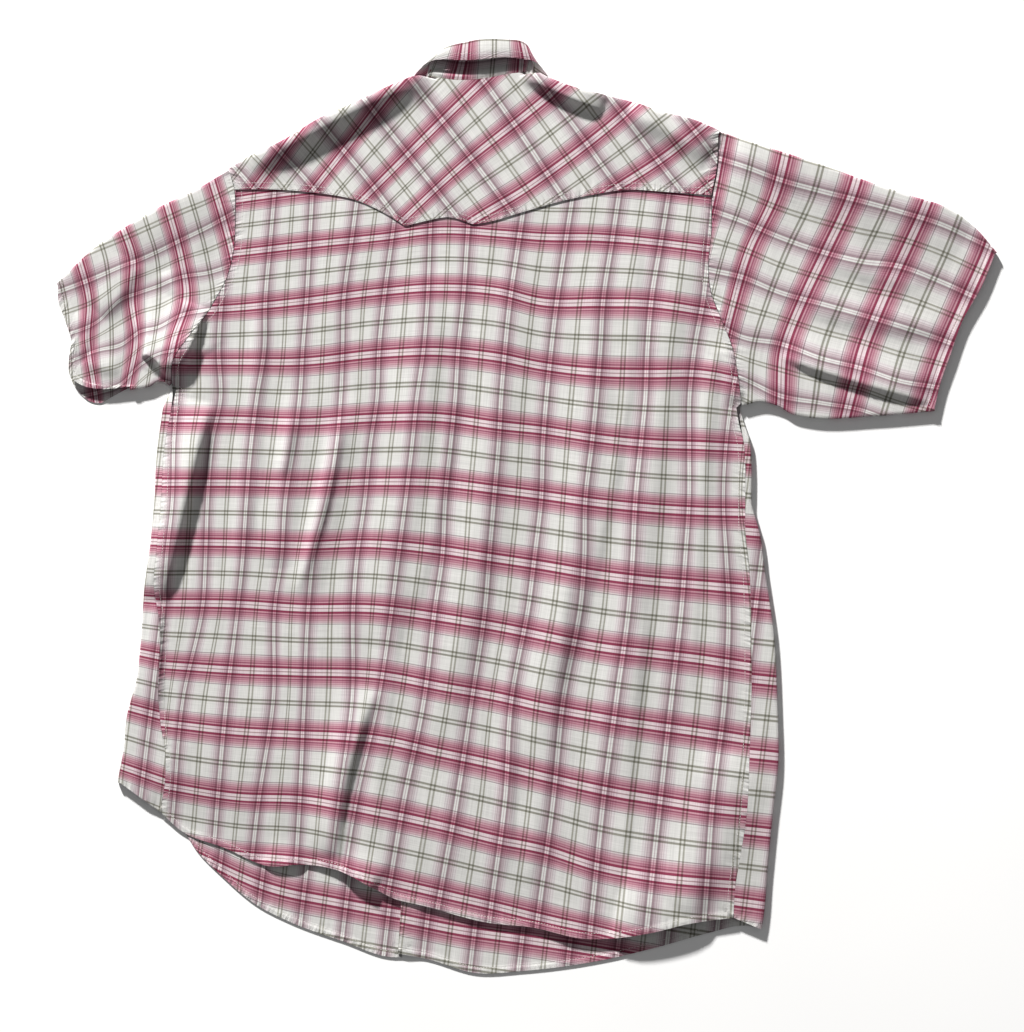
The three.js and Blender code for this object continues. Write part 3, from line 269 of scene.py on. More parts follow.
# The collar's sections, from the outer front's end round the back to the inner one's: the neck seam,
# the roll, the fall's free edge, its bulge and its turn. The turn is 1 over the back, 0 at the corners,
# and -1 or -2 for the steps down under the fronts. The stand's two ends have no fall.
COLLAR = [
    # seam x, y, z; roll x, y, z; edge x, y, z; bulge; turn
    (-34, 340, 2.4, -36, 370, 2.4),
    (-53, 340, 2.4, -51, 371, 2.4, -86, 304, 0.5, 0, -1),
    (-71, 345, 2.4, -66, 377, 2.4, -106, 322, 0.5, 0, -1),
    (-91, 364, 2.4, -80, 394, 2.4, -120, 358, 0.5, 0, -1),
    (-101, 392, 2.6, -90, 420, 2.6, -125, 396, 0.5, 0, -1),
    (-102, 412, 2.9, -95, 437, 3.9, -115, 424, 0.6, 0, -1),
    (-100, 424, 4.4, -96, 444, 6.4, -109, 435, 6.4, 0.5, 0),
    (-96, 433, 6.2, -88, 454, 8.5, -98, 444, 9.5, 0.6, 1),
    (-88, 432, 6.6, -78, 460, 10, -84, 447, 11.4, 0.6, 1),
    (-68, 429, 6.8, -60, 464, 10.6, -62, 446, 12.0, 0.6, 1),
    (-46, 430, 6.8, -44, 467, 10.8, -44, 447, 12.4, 0.6, 1),
    (-26, 433, 6.8, -22, 467, 10.4, -22, 449, 11.8, 0.6, 1),
    (-6, 436, 6.6, -4, 465, 9.2, 0, 447, 10.4, 0.6, 1),
    (-1, 437, 6.3, 4, 457, 8.2, 10, 444, 9.0, 0.6, 1),
    (3, 425, 4.4, 7, 444, 6.4, 19, 435, 6.4, 0.5, 0),
    (9, 412, 2.9, 7, 436, 3.9, 25, 424, 0.6, 0, -1),
    (9, 392, 2.6, 2, 420, 2.6, 34, 396, 0.5, 0, -1),
    (1, 368, 2.6, -7, 396, 2.6, 29, 360, 0.5, 0, -1),
    (-24, 345, 3.9, -24, 377, 3.9, 16, 324, 0.5, 0, -1),
    (-38, 341, 3.9, -38, 371, 3.9, -3, 304, 0.5, 0, -2),
    (-54, 341, 3.9, -52, 370, 3.9),
]
COLLAR_TURN = 10

ARMHOLE_ROWS, SIDE_ROWS = 11, 17
BODY_ROWS = ARMHOLE_ROWS + SIDE_ROWS
SHOULDER_SHARE_OF_ARMHOLE, BACK_SHARE_OF_ARMHOLE, TURN_SHARE_OF_ARMHOLE = 0.055, 0.04, 0.012
LEFT_YOKE_END_SHARE, RIGHT_YOKE_END_SHARE = 0.085, 0.23
LEFT_FRONT_NECK_SHARE, RIGHT_FRONT_NECK_SHARE = 0.56, 0.42
FLAT_RIM = 7.0
NORMAL_STEP = 0.004
FAR = 1e3


def mix(a, b, t):
    return a + (b - a) * t


def clamp01(t):
    return np.clip(t, 0.0, 1.0)


def smooth_step(start, end, value):
    t = clamp01((value - start) / (end - start))
    return t * t * (3 - 2 * t)


class Line:
    """A line in plan, called with shares of its length from 0 to 1."""

    def __init__(self, place, reach):
        self.place = place
        self.reach = reach

    def __call__(self, share):
        return self.place(np.asarray(share, dtype=float))


def hermite(knots, values, at):
    """A smooth curve through values at the knots; values may have several columns."""
    last = len(knots) - 1
    secants = (values[1:] - values[:-1]) / (knots[1:] - knots[:-1])[:, None]
    gaps = knots[1:] - knots[:-1]
    slopes = np.empty_like(values)
    slopes[0], slopes[last] = secants[0], secants[-1]
    before, after = gaps[:-1, None], gaps[1:, None]
    slopes[1:last] = (secants[:-1] * after + secants[1:] * before) / (before + after)
    i = np.clip(np.searchsorted(knots, at, side="left") - 1, 0, last - 1)
    span = gaps[i]
    t = (at - knots[i]) / span
    inside = clamp01(t)
    square, cube = inside ** 2, inside ** 3
    curve = ((2 * cube - 3 * square + 1)[..., None] * values[i]
             + ((cube - 2 * square + inside) * span)[..., None] * slopes[i]
             + (3 * square - 2 * cube)[..., None] * values[i + 1]
             + ((cube - square) * span)[..., None] * slopes[i + 1])
    beyond = ((t - inside) * span)[..., None]
    return curve + beyond * np.where((t < 0)[..., None], slopes[i], slopes[i + 1])


def smooth_line(rows):
    places = np.array(rows, dtype=float)
    steps = np.hypot(*np.diff(places, axis=0).T)
    knots = np.concatenate([[0.0], np.cumsum(steps)])
    return Line(lambda share: hermite(knots, places, clamp01(share) * knots[-1]), knots[-1])


def left_of(line, share):
    """The unit normal to the left of a line's run."""
    share = np.asarray(share, dtype=float)
    run = line(clamp01(share + NORMAL_STEP)) - line(clamp01(share - NORMAL_STEP))
    size = np.hypot(run[..., 0], run[..., 1])
    return np.stack([-run[..., 1] / size, run[..., 0] / size], axis=-1)


def shifted(line, distance):
    return Line(lambda share: line(share) + left_of(line, share) * distance, line.reach)


def stretch(line, start, end):
    return Line(lambda share: line(mix(start, end, share)), line.reach * abs(end - start))


def started_at(line, start):
    pull = np.asarray(start) - line(0.0)
    return Line(lambda share: line(share) + pull * ((1 - share) ** 4)[..., None], line.reach)


def chain(*parts):
    whole = sum(part.reach for part in parts)

    def place(share):
        along = clamp01(share) * whole
        found = np.zeros(np.shape(along) + (2,))
        start = 0.0
        for k, part in enumerate(parts):
            end = start + part.reach
            here = (along >= start) if k == len(parts) - 1 else (along >= start) & (along < end)
            local = part(clamp01((along - start) / part.reach))
            found = np.where(here[..., None], local, found)
            start = end
        return found

    return Line(place, whole)


def patch(left, right, first, last):
    """A patch of cloth in plan between four edges, called with columns u and rows v."""
    def drawn(line, a, b, u):
        return line(u) + mix(a - line(0.0), b - line(1.0), u[..., None])

    def plan(u, v):
        u, v = np.broadcast_arrays(u, v)
        across, down = u[..., None], v[..., None]
        straight = mix(drawn(first, left(0.0), right(0.0), u), drawn(last, left(1.0), right(1.0), u), down)
        left_bow = left(v) - mix(left(0.0), left(1.0), down)
        right_bow = right(v) - mix(right(0.0), right(1.0), down)
        return straight + (1 - across) * left_bow + across * right_bow

    return plan


def fold_rise(fold, x, y):
    """How far a fold raises the cloth at each place."""
    x1, y1, x2, y2, x3, y3, height, left, right = fold
    control_x, control_y = 2 * x2 - (x1 + x3) / 2, 2 * y2 - (y1 + y3) / 2
    nearest = np.full(x.shape, np.inf)
    share, side = np.zeros(x.shape), np.zeros(x.shape)
    from_x, from_y = x1, y1
    for i in range(1, FOLD_STEPS + 1):
        t = i / FOLD_STEPS
        to_x = (1 - t) ** 2 * x1 + 2 * (1 - t) * t * control_x + t * t * x3
        to_y = (1 - t) ** 2 * y1 + 2 * (1 - t) * t * control_y + t * t * y3
        run_x, run_y = to_x - from_x, to_y - from_y
        along = clamp01(((x - from_x) * run_x + (y - from_y) * run_y) / (run_x ** 2 + run_y ** 2))
        off_x, off_y = x - from_x - run_x * along, y - from_y - run_y * along
        off = np.hypot(off_x, off_y)
        closer = off < nearest
        nearest = np.where(closer, off, nearest)
        share = np.where(closer, (i - 1 + along) / FOLD_STEPS, share)
        side = np.where(closer, run_x * off_y - run_y * off_x, side)
        from_x, from_y = to_x, to_y
    across = nearest / np.where(side > 0, left, right)
    from_middle = 2 * share - 1
    return height * (1 - from_middle ** 4) * np.exp(-across ** 2)


def upper_middle(x, y):
    rise = np.full(x.shape, UPPER_MIDDLE)
    for fold in MAIN_FOLDS + FINE_FOLDS:
        rise = rise + fold_rise(fold, x, y)
    return rise


def placket_share(y):
    return (LEFT_FRONT_EDGE[0][1] - y) / (LEFT_FRONT_EDGE[0][1] - LEFT_FRONT_EDGE[3][1])


def outer_front_edge(y):
    return mix(LEFT_FRONT_EDGE[0][0], LEFT_FRONT_EDGE[3][0], placket_share(y))


def inner_front_edge(y):
    return mix(RIGHT_FRONT_EDGE[0][0], RIGHT_FRONT_EDGE[3][0], placket_share(y))


def placket_middle(y):
    return (outer_front_edge(y) + inner_front_edge(y)) / 2


def slope_down(start, end, value):
    return 1 - clamp01((value - start) / (end - start))


WINGS_X, WINGS_Y, WINGS_HALF_WIDTH, WINGS_HALF_LENGTH, WINGS_SLOPE_END = -45, 372, 92, 84, 1.35


def lower_middle(x, y):
    """The lower layer's height, lifted over the snaps and over the collar's wings."""
    snaps = (slope_down(PLACKET_FLAT_HALF, PLACKET_SLOPE_END, np.abs(x - placket_middle(y)))
             * slope_down(-SNAPS_END, -SNAPS_END + PLACKET_SLOPE_END, -y))
    from_wings = np.hypot((x - WINGS_X) / WINGS_HALF_WIDTH, (y - WINGS_Y) / WINGS_HALF_LENGTH)
    return LOWER_MIDDLE + PLACKET_LIFT * np.maximum(snaps, slope_down(1.0, WINGS_SLOPE_END, from_wings))


def inner_front_middle(x, y):
    return lower_middle(x, y) + PLACKET_STEP * slope_down(LAP_FLAT, LAP_SLOPE_END, x - outer_front_edge(y))


# The plaid's places on the cloth
def line_numbers(stations, table, run, cross):
    """The number of the cloth line at each place: whole on a line, and in between by distance."""
    knots = np.array(stations, dtype=float)
    lines = hermite(knots, np.array(table, dtype=float).T, np.ravel(run))
    cross = np.ravel(cross)
    count = lines.shape[1]
    number = (cross - lines[:, 0]) / (lines[:, 1] - lines[:, 0])
    for k in range(1, count - 1):
        beyond = cross > lines[:, k]
        step = (cross - lines[:, k]) / (lines[:, k + 1] - lines[:, k])
        number = np.where(beyond, k + step, number)
    return number.reshape(np.shape(run))


def view_place(x, y):
    return x + VIEW_LEFT, VIEW_TOP - y


def plaid_from(warp_stations, warp, weft_stations, weft, warp_runs_down):
    def lattice(points):
        across, down = view_place(points[..., 0], points[..., 1])
        if warp_runs_down:
            u = line_numbers(warp_stations, warp, down, across)
            v = line_numbers(weft_stations, weft, across, down)
        else:
            u = line_numbers(warp_stations, warp, across, down)
            v = line_numbers(weft_stations, weft, down, across)
        return np.stack([u, v], axis=-1)
    return lattice


def front_plaid(stations, table, start, pitch):
    def lattice(points):
        across, down = view_place(points[..., 0], points[..., 1])
        u = (across + FRONT_WARP_SLANT * (down - FRONT_WARP_LEVEL) - start) / pitch
        return np.stack([u, line_numbers(stations, table, across, down)], axis=-1)
    return lattice


back_lattice = plaid_from(BACK_WARP_DOWN, BACK_WARP_ACROSS, BACK_WEFT_ACROSS, BACK_WEFT_DOWN, True)
yoke_lattice = plaid_from(YOKE_WARP_DOWN, YOKE_WARP_ACROSS, YOKE_WEFT_ACROSS, YOKE_WEFT_DOWN, True)
right_sleeve_lattice = plaid_from(RIGHT_SLEEVE_WARP_ACROSS, RIGHT_SLEEVE_WARP_DOWN,
                                  RIGHT_SLEEVE_WEFT_DOWN, RIGHT_SLEEVE_WEFT_ACROSS, False)
left_sleeve_lattice = plaid_from(LEFT_SLEEVE_WARP_ACROSS, LEFT_SLEEVE_WARP_DOWN,
                                 LEFT_SLEEVE_WEFT_DOWN, LEFT_SLEEVE_WEFT_ACROSS, False)
left_front_lattice = front_plaid(LEFT_FRONT_WEFT_ACROSS, LEFT_FRONT_WEFT_DOWN,
                                 LEFT_FRONT_WARP_START, LEFT_FRONT_WARP_PITCH)
right_front_lattice = front_plaid(RIGHT_FRONT_WEFT_ACROSS, RIGHT_FRONT_WEFT_DOWN,
                                  RIGHT_FRONT_WARP_START, RIGHT_FRONT_WARP_PITCH)


# Materials
def tone(text):
    """A colour from its sRGB hex text."""
    parts = [int(text[k:k + 2], 16) / 255 for k in (1, 3, 5)]
    return [c / 12.92 if c <= 0.04045 else ((c + 0.055) / 1.055) ** 2.4 for c in parts]


class Nodes:
    """A short way to place and join shader nodes."""

    def __init__(self, tree):
        self.tree = tree

    def add(self, kind, settings=None, **inputs):
        node = self.tree.nodes.new(kind)
        for name, value in (settings or {}).items():
            setattr(node, name, value)
        for name, value in inputs.items():
            key = int(name[1:]) if name[0] == "i" and name[1:].isdigit() else name.replace("_", " ")
            socket = node.inputs[key]
            if isinstance(value, bpy.types.NodeSocket):
                self.tree.links.new(value, socket)
            else:
                socket.default_value = value
        return node

    def math(self, operation, a, b=0.0, c=0.0):
        return self.add("ShaderNodeMath", {"operation": operation}, i0=a, i1=b, i2=c).outputs[0]

    def multiply(self, a, b):
        node = self.add("ShaderNodeMix", {"data_type": "RGBA", "blend_type": "MULTIPLY"})
        node.inputs[0].default_value = 1.0
        for socket, value in ((node.inputs[6], a), (node.inputs[7], b)):
            if isinstance(value, bpy.types.NodeSocket):
                self.tree.links.new(value, socket)
            else:
                socket.default_value = (*value, 1.0)
        return node.outputs[2]

    def ramp(self, factor, stops, reach):
        node = self.add("ShaderNodeValToRGB", i0=factor)
        ramp = node.color_ramp
        while len(ramp.elements) < len(stops):
            ramp.elements.new(1.0)
        for element, (place, colour) in zip(ramp.elements, stops):
            element.position = place / reach
            element.color = (*colour, 1.0)
        return node.outputs[0]


def new_group(name, inputs, outputs):
    group = bpy.data.node_groups.new(name, "ShaderNodeTree")
    kinds = {"vector": "NodeSocketVector", "colour": "NodeSocketColor", "value": "NodeSocketFloat"}
    for label, kind in inputs:
        group.interface.new_socket(label, in_out="INPUT", socket_type=kinds[kind])
    for label, kind in outputs:
        group.interface.new_socket(label, in_out="OUTPUT", socket_type=kinds[kind])
    nodes = Nodes(group)
    start, end = nodes.add("NodeGroupInput"), nodes.add("NodeGroupOutput")
    return group, nodes, start.outputs, lambda label, value: group.links.new(value, end.inputs[label])


BARE = "#dddcd9"
GROUND = tone(BARE)
FADE = 0.86


def over_ground(rows):
    """Colour stops of the yarns, each as a share of the bare ground's colour."""
    return [(place, [a / b for a, b in zip(tone(text), GROUND)]) for place, text in rows]


WARP_HALF_PITCH = 26.5
# Colours from the middle of a white double stripe outwards, by distance in millimetres
WARP_STOPS = over_ground([
    (0.0, "#bcafb2"), (0.35, "#bcafb2"), (0.6, BARE), (2.0, BARE), (2.35, "#9c888e"), (4.4, "#9c888e"),
    (4.7, "#b6a5aa"), (5.7, "#b6a5aa"), (6.0, "#c4b6ba"), (6.6, "#c4b6ba"), (6.8, "#b3a2a7"),
    (7.4, "#b3a2a7"), (7.7, "#cfc4c6"), (8.6, "#cfc4c6"), (8.8, "#c2b5b9"), (9.4, "#c2b5b9"),
    (9.7, "#d6cfd0"), (11.1, "#d9d3d4"), (11.3, "#cec5c7"), (11.8, "#cec5c7"), (12.2, "#dbd7d6"),
    (14.5, BARE), (23.3, BARE), (23.8, "#a3a298"), (25.2, "#a3a298"), (25.7, BARE), (26.5, "#d6d5d0"),
])
WEFT_HALF_PITCH = 36.0
# Colours from the middle of a red band outwards
WEFT_STOPS = over_ground([
    (0.0, "#a98b90"), (0.45, "#a98b90"), (0.8, "#e3d3d6"), (3.4, "#e0ccd1"), (3.8, "#8d3852"),
    (6.0, "#8d3852"), (6.4, "#c796a2"), (7.6, "#c796a2"), (7.9, "#98566a"), (9.0, "#98566a"),
    (9.4, "#c08e9c"), (10.3, "#bb8593"), (10.6, "#ad7283"), (11.2, "#ad7283"), (11.5, "#c396a1"),
    (12.6, "#c8a0a9"), (12.9, "#b38893"), (13.5, "#b38893"), (13.8, "#caaab1"), (15.0, "#cfb3b9"),
    (15.2, "#bb9ca3"), (15.7, "#bb9ca3"), (16.0, "#d4c4c7"), (17.0, "#d9cecf"), (17.2, "#a09496"),
    (17.9, "#a09496"), (18.2, BARE), (32.5, BARE), (33.0, "#949389"), (34.7, "#949389"), (35.2, BARE),
    (36.0, "#d6d5d0"),
])
YARN_PITCH, YARN_HEIGHT = 0.5, 0.03 * MM
STREAK_WIDTH, STREAKS_PER_REPEAT = 0.9, 1.3


def plaid_group():
    """The woven plaid over cloth coordinates that count its repeats along and across."""
    group, nodes, given, give = new_group(
        "woven_plaid", [("Lattice", "vector"), ("Yarn contrast", "value")],
        [("Colour", "colour"), ("Height", "value")])
    parts = nodes.add("ShaderNodeSeparateXYZ", Vector=given["Lattice"])
    u, v = parts.outputs[0], parts.outputs[1]
    from_stripe = nodes.math("MULTIPLY", nodes.math("PINGPONG", u, 0.5), 2.0)
    from_band = nodes.math("MULTIPLY", nodes.math("PINGPONG", v, 0.5), 2.0)
    warp = nodes.ramp(from_stripe, WARP_STOPS, WARP_HALF_PITCH)
    weft = nodes.ramp(from_band, WEFT_STOPS, WEFT_HALF_PITCH)
    colour = nodes.multiply(nodes.multiply(warp, weft), [part * FADE for part in GROUND])
    streaks = []
    for across, along in ((0, 1), (1, 0)):
        scale = [0.0, 0.0, 0.0]
        scale[across] = (WARP_HALF_PITCH, WEFT_HALF_PITCH)[across] * 2 / STREAK_WIDTH
        scale[along] = STREAKS_PER_REPEAT
        stretched = nodes.add("ShaderNodeVectorMath", {"operation": "MULTIPLY"},
                              i0=given["Lattice"], i1=scale)
        noise = nodes.add("ShaderNodeTexNoise", {"noise_dimensions": "2D"},
                          Vector=stretched.outputs[0], Scale=1.0, Detail=1.0)
        streaks.append(nodes.math("SUBTRACT", noise.outputs[0], 0.5))
    shade = nodes.math("MULTIPLY_ADD", nodes.math("ADD", *streaks), given["Yarn contrast"], 1.0)
    grey = nodes.add("ShaderNodeCombineColor", i0=shade, i1=shade, i2=shade)
    give("Colour", nodes.multiply(colour, grey.outputs[0]))
    halves = (WARP_HALF_PITCH, WEFT_HALF_PITCH)
    warp_turn, weft_turn = (2 * math.pi * 2 * half / YARN_PITCH for half in halves)
    warp_yarn = nodes.math("SINE", nodes.math("MULTIPLY", u, warp_turn))
    weft_yarn = nodes.math("SINE", nodes.math("MULTIPLY", v, weft_turn))
    give("Height", nodes.math("MULTIPLY", nodes.math("MULTIPLY", warp_yarn, weft_yarn), YARN_HEIGHT))
    return group


PUCKER_LEAN, PUCKERS_FROM_SEAM, NATURAL_BASE = 0.35, 25.0, 2.718
PUCKER_LENGTH, PUCKER_REACH = 5 * MM, 6 * MM
RUMPLE_SIZE, RUMPLE_STRETCH = 34 * MM, 3.4


def pucker_group():
    """Small puckers along a seam, over coordinates of the distance from it and the way along it."""
    group, nodes, given, give = new_group(
        "seam_puckers",
        [("Seam", "vector"), ("Rise", "value"), ("Pucker length", "value"), ("Reach", "value")],
        [("Height", "value")])
    parts = nodes.add("ShaderNodeSeparateXYZ", Vector=given["Seam"])
    from_seam, along = parts.outputs[0], parts.outputs[1]
    leaning = nodes.math("MULTIPLY_ADD", from_seam, PUCKER_LEAN, along)
    place = nodes.add("ShaderNodeCombineXYZ", X=nodes.math("DIVIDE", leaning, given["Pucker length"]),
                      Y=nodes.math("MULTIPLY", from_seam, PUCKERS_FROM_SEAM))
    noise = nodes.add("ShaderNodeTexNoise", {"noise_dimensions": "2D"},
                      Vector=place.outputs[0], Scale=1.0, Detail=1.5)
    reached = nodes.math("DIVIDE", from_seam, given["Reach"])
    fade = nodes.math("POWER", NATURAL_BASE, nodes.math("MULTIPLY", reached, -1.0))
    swell = nodes.math("MULTIPLY", nodes.math("SUBTRACT", noise.outputs[0], 0.5), fade)
    give("Height", nodes.math("MULTIPLY", swell, given["Rise"]))
    return group


def rumple_group():
    """Soft rumples of washed cotton, over places on the cloth in metres."""
    group, nodes, given, give = new_group(
        "washed_rumples", [("Place", "vector"), ("Rise", "value"), ("Size", "value")], [("Height", "value")])
    scaled = nodes.add("ShaderNodeVectorMath", {"operation": "DIVIDE"}, i0=given["Place"])
    spread = nodes.add("ShaderNodeCombineXYZ", X=given["Size"], Z=given["Size"],
                       Y=nodes.math("MULTIPLY", given["Size"], RUMPLE_STRETCH))
    group.links.new(spread.outputs[0], scaled.inputs[1])
    noise = nodes.add("ShaderNodeTexNoise", {"noise_dimensions": "2D"},
                      Vector=scaled.outputs[0], Scale=1.0, Detail=2.0, Roughness=0.45)
    give("Height", nodes.math("MULTIPLY", nodes.math("SUBTRACT", noise.outputs[0], 0.5), given["Rise"]))
    return group


PLAID, PUCKERS, RUMPLES = plaid_group(), pucker_group(), rumple_group()


def new_material(name):
    material = bpy.data.materials.new(name)
    material.use_nodes = True
    nodes = Nodes(material.node_tree)
    shader = material.node_tree.nodes["Principled BSDF"]
    return material, nodes, shader


def place_group(nodes, group, **inputs):
    return nodes.add("ShaderNodeGroup", {"node_tree": group}, **inputs).outputs


def plaid_cloth(name, yarn_contrast, pucker_rise, rumple_rise):
    material, nodes, shader = new_material(name)
    lattice = nodes.add("ShaderNodeUVMap", {"uv_map": "plaid"}).outputs[0]
    seam = nodes.add("ShaderNodeUVMap", {"uv_map": "seam"}).outputs[0]
    place = nodes.add("ShaderNodeTexCoord").outputs["Object"]
    weave = place_group(nodes, PLAID, Lattice=lattice, Yarn_contrast=yarn_contrast)
    puckers = place_group(nodes, PUCKERS, Seam=seam, Rise=pucker_rise, Pucker_length=PUCKER_LENGTH,
                          Reach=PUCKER_REACH)
    rumples = place_group(nodes, RUMPLES, Place=place, Rise=rumple_rise, Size=RUMPLE_SIZE)
    height = nodes.math("ADD", nodes.math("ADD", weave["Height"], puckers["Height"]), rumples["Height"])
    bump = nodes.add("ShaderNodeBump", Height=height, Strength=1.0, Distance=1.0)
    material.node_tree.links.new(weave["Colour"], shader.inputs["Base Color"])
    material.node_tree.links.new(bump.outputs[0], shader.inputs["Normal"])
    shader.inputs["Roughness"].default_value = 0.9
    shader.inputs["Sheen Weight"].default_value = 0.12
    shader.inputs["Sheen Roughness"].default_value = 0.5
    shader.inputs["Specular IOR Level"].default_value = 0.25
    return material


body_cloth = plaid_cloth("straight_plaid_cotton", 0.28, 1.8 * MM, 2.0 * MM)
yoke_cloth = plaid_cloth("bias_plaid_cotton", 0.28, 3.4 * MM, 1.8 * MM)
collar_cloth = plaid_cloth("interlined_plaid_cotton", 0.28, 0.8 * MM, 0.6 * MM)


def grained_material(name, stops, **noise_settings):
    """A material whose colour follows a noise over the piece's own places."""
    material, nodes, shader = new_material(name)
    place = nodes.add("ShaderNodeTexCoord").outputs["Object"]
    grain = nodes.add("ShaderNodeTexNoise", Vector=place, **noise_settings).outputs[0]
    colour = nodes.ramp(grain, [(at, tone(text)) for at, text in stops], 1.0)
    material.node_tree.links.new(colour, shader.inputs["Base Color"])
    return material, nodes, shader, place, grain


def thread_material():
    material, nodes, shader, _, twist = grained_material(
        "sewing_thread", [(0.3, "#b9b4b0"), (0.7, "#e9e6e1")], Scale=1800.0, Detail=1.0)
    bump = nodes.add("ShaderNodeBump", Height=nodes.math("MULTIPLY", twist, 0.1 * MM),
                     Strength=1.0, Distance=1.0)
    material.node_tree.links.new(bump.outputs[0], shader.inputs["Normal"])
    shader.inputs["Roughness"].default_value = 0.7
    return material


def pearl_material():
    material, nodes, shader, place, _ = grained_material(
        "pearl_cap", [(0.3, "#cfc8c0"), (0.5, "#f1eee9"), (0.7, "#d9d3d6")],
        Scale=260.0, Detail=3.0, Distortion=1.4)
    wear = nodes.add("ShaderNodeTexNoise", Vector=place, Scale=900.0, Detail=2.0).outputs[0]
    roughness = nodes.math("MULTIPLY_ADD", wear, 0.2, 0.12)
    material.node_tree.links.new(roughness, shader.inputs["Roughness"])
    shader.inputs["Coat Weight"].default_value = 0.6
    return material


def metal_material():
    material, nodes, shader, _, brushed = grained_material(
        "snap_ring_metal", [(0.3, "#8f8c88"), (0.7, "#c4c1bc")], Scale=1400.0, Detail=2.0)
    roughness = nodes.math("MULTIPLY_ADD", brushed, 0.25, 0.22)
    material.node_tree.links.new(roughness, shader.inputs["Roughness"])
    shader.inputs["Metallic"].default_value = 1.0
    return material


def floor_material():
    material, _, shader, _, _ = grained_material(
        "pale_floor", [(0.3, "#fbfbfb"), (0.7, "#fefefe")], Scale=3.0, Detail=2.0)
    shader.inputs["Roughness"].default_value = 0.9
    shader.inputs["Specular IOR Level"].default_value = 0.1
    return material


thread, pearl, ring_metal = thread_material(), pearl_material(), metal_material()


# Cloth pieces
def grid_normals(points, closed):
    along = np.empty_like(points)
    along[1:-1] = points[2:] - points[:-2]
    along[0], along[-1] = points[1] - points[0], points[-1] - points[-2]
    if closed:
        across = np.roll(points, -1, axis=1) - np.roll(points, 1, axis=1)
    else:
        across = np.empty_like(points)
        across[:, 1:-1] = points[:, 2:] - points[:, :-2]
        across[:, 0], across[:, -1] = points[:, 1] - points[:, 0], points[:, -1] - points[:, -2]
    normals = np.cross(across, along)
    return normals / np.maximum(np.linalg.norm(normals, axis=-1, keepdims=True), 1e-9)


def grid_faces(rows, columns, closed):
    """Faces of a shell round a grid: outer side, inner side and rims."""
    count = rows * columns
    i, j = np.meshgrid(np.arange(rows - 1), np.arange(columns if closed else columns - 1), indexing="ij")
    next_j = (j + 1) % columns
    a, b = i * columns + j, i * columns + next_j
    c, d = (i + 1) * columns + next_j, (i + 1) * columns + j
    outer = np.stack([a, b, c, d], axis=-1).reshape(-1, 4)
    faces = [outer, outer[:, ::-1] + count]
    spans = np.arange(columns if closed else columns - 1)
    following = (spans + 1) % columns
    faces.append(np.stack([following, spans, spans + count, following + count], axis=-1))
    base = (rows - 1) * columns
    end, after = base + spans, base + following
    faces.append(np.stack([end, after, after + count, end + count], axis=-1))
    if not closed:
        spans = np.arange(rows - 1) * columns
        below = spans + columns
        faces.append(np.stack([spans, below, below + count, spans + count], axis=-1))
        rim = columns - 1
        faces.append(np.stack([below + rim, spans + rim, spans + rim + count, below + rim + count], axis=-1))
    return np.concatenate(faces)


def make_mesh(name, vertices, faces, materials):
    mesh = bpy.data.meshes.new(name)
    mesh.from_pydata(vertices.tolist(), [], faces.tolist())
    mesh.update()
    for material in materials:
        mesh.materials.append(material)
    mesh.polygons.foreach_set("use_smooth", [True] * len(mesh.polygons))
    piece = bpy.data.objects.new(name, mesh)
    bpy.context.scene.collection.objects.link(piece)
    return piece


def add_map(piece, name, values):
    layer = piece.data.uv_layers.new(name=name)
    corners = np.empty(len(piece.data.loops), dtype=np.int32)
    piece.data.loops.foreach_get("vertex_index", corners)
    layer.data.foreach_set("uv", values[corners].astype(np.float32).ravel())


def placed(points):
    """Points in the tables' millimetres as metres from the laid shirt's middle."""
    return (points - np.array([CENTRE_X, CENTRE_Y, 0.0])) * MM


def signed_volume(vertices, faces):
    a, b, c, d = (vertices[faces[:, k]] for k in range(4))
    return np.sum(a * np.cross(b, c)) + np.sum(a * np.cross(c, d))


SHARP_ANGLE = math.radians(70)


def cloth_piece(name, points, lattice, seam, material, closed=False, wall=CLOTH):
    """A thin shell of cloth round a grid of middle points, with its plaid and seam coordinates."""
    points[..., 2] = np.maximum(points[..., 2], wall / 2)
    normals = grid_normals(points, closed)
    rows, columns = points.shape[:2]
    sides = [placed(points + normals * wall / 2), placed(points - normals * wall / 2)]
    vertices = np.concatenate([side.reshape(-1, 3) for side in sides])
    faces = grid_faces(rows, columns, closed)
    if signed_volume(vertices, faces) < 0:
        faces = faces[:, ::-1]
    piece = make_mesh(name, vertices, faces, [material])
    piece.data.set_sharp_from_angle(angle=SHARP_ANGLE)
    add_map(piece, "plaid", np.tile(lattice.reshape(-1, 2), (2, 1)))
    add_map(piece, "seam", np.tile(seam.reshape(-1, 2), (2, 1)))
    return piece


def lengths(points, axis):
    steps = np.linalg.norm(np.diff(points, axis=axis), axis=-1)
    pad = [(0, 0), (0, 0)]
    pad[axis] = (1, 0)
    return np.pad(np.cumsum(steps, axis=axis), pad)


def seam_places(points, sides):
    """For each grid point, its distance from the nearest named side and the way along that side."""
    down, across = lengths(points, 0), lengths(points, 1)
    options = {
        "first": (down, across),
        "last": (down[-1:] - down, across),
        "left": (across, down),
        "right": (across[:, -1:] - across, down),
    }
    best = np.full(points.shape[:2], FAR)
    along = np.zeros(points.shape[:2])
    for side in sides:
        distance, way = options[side]
        closer = distance < best
        best = np.where(closer, distance, best)
        along = np.where(closer, way, along)
    return np.stack([best, along], axis=-1) * MM


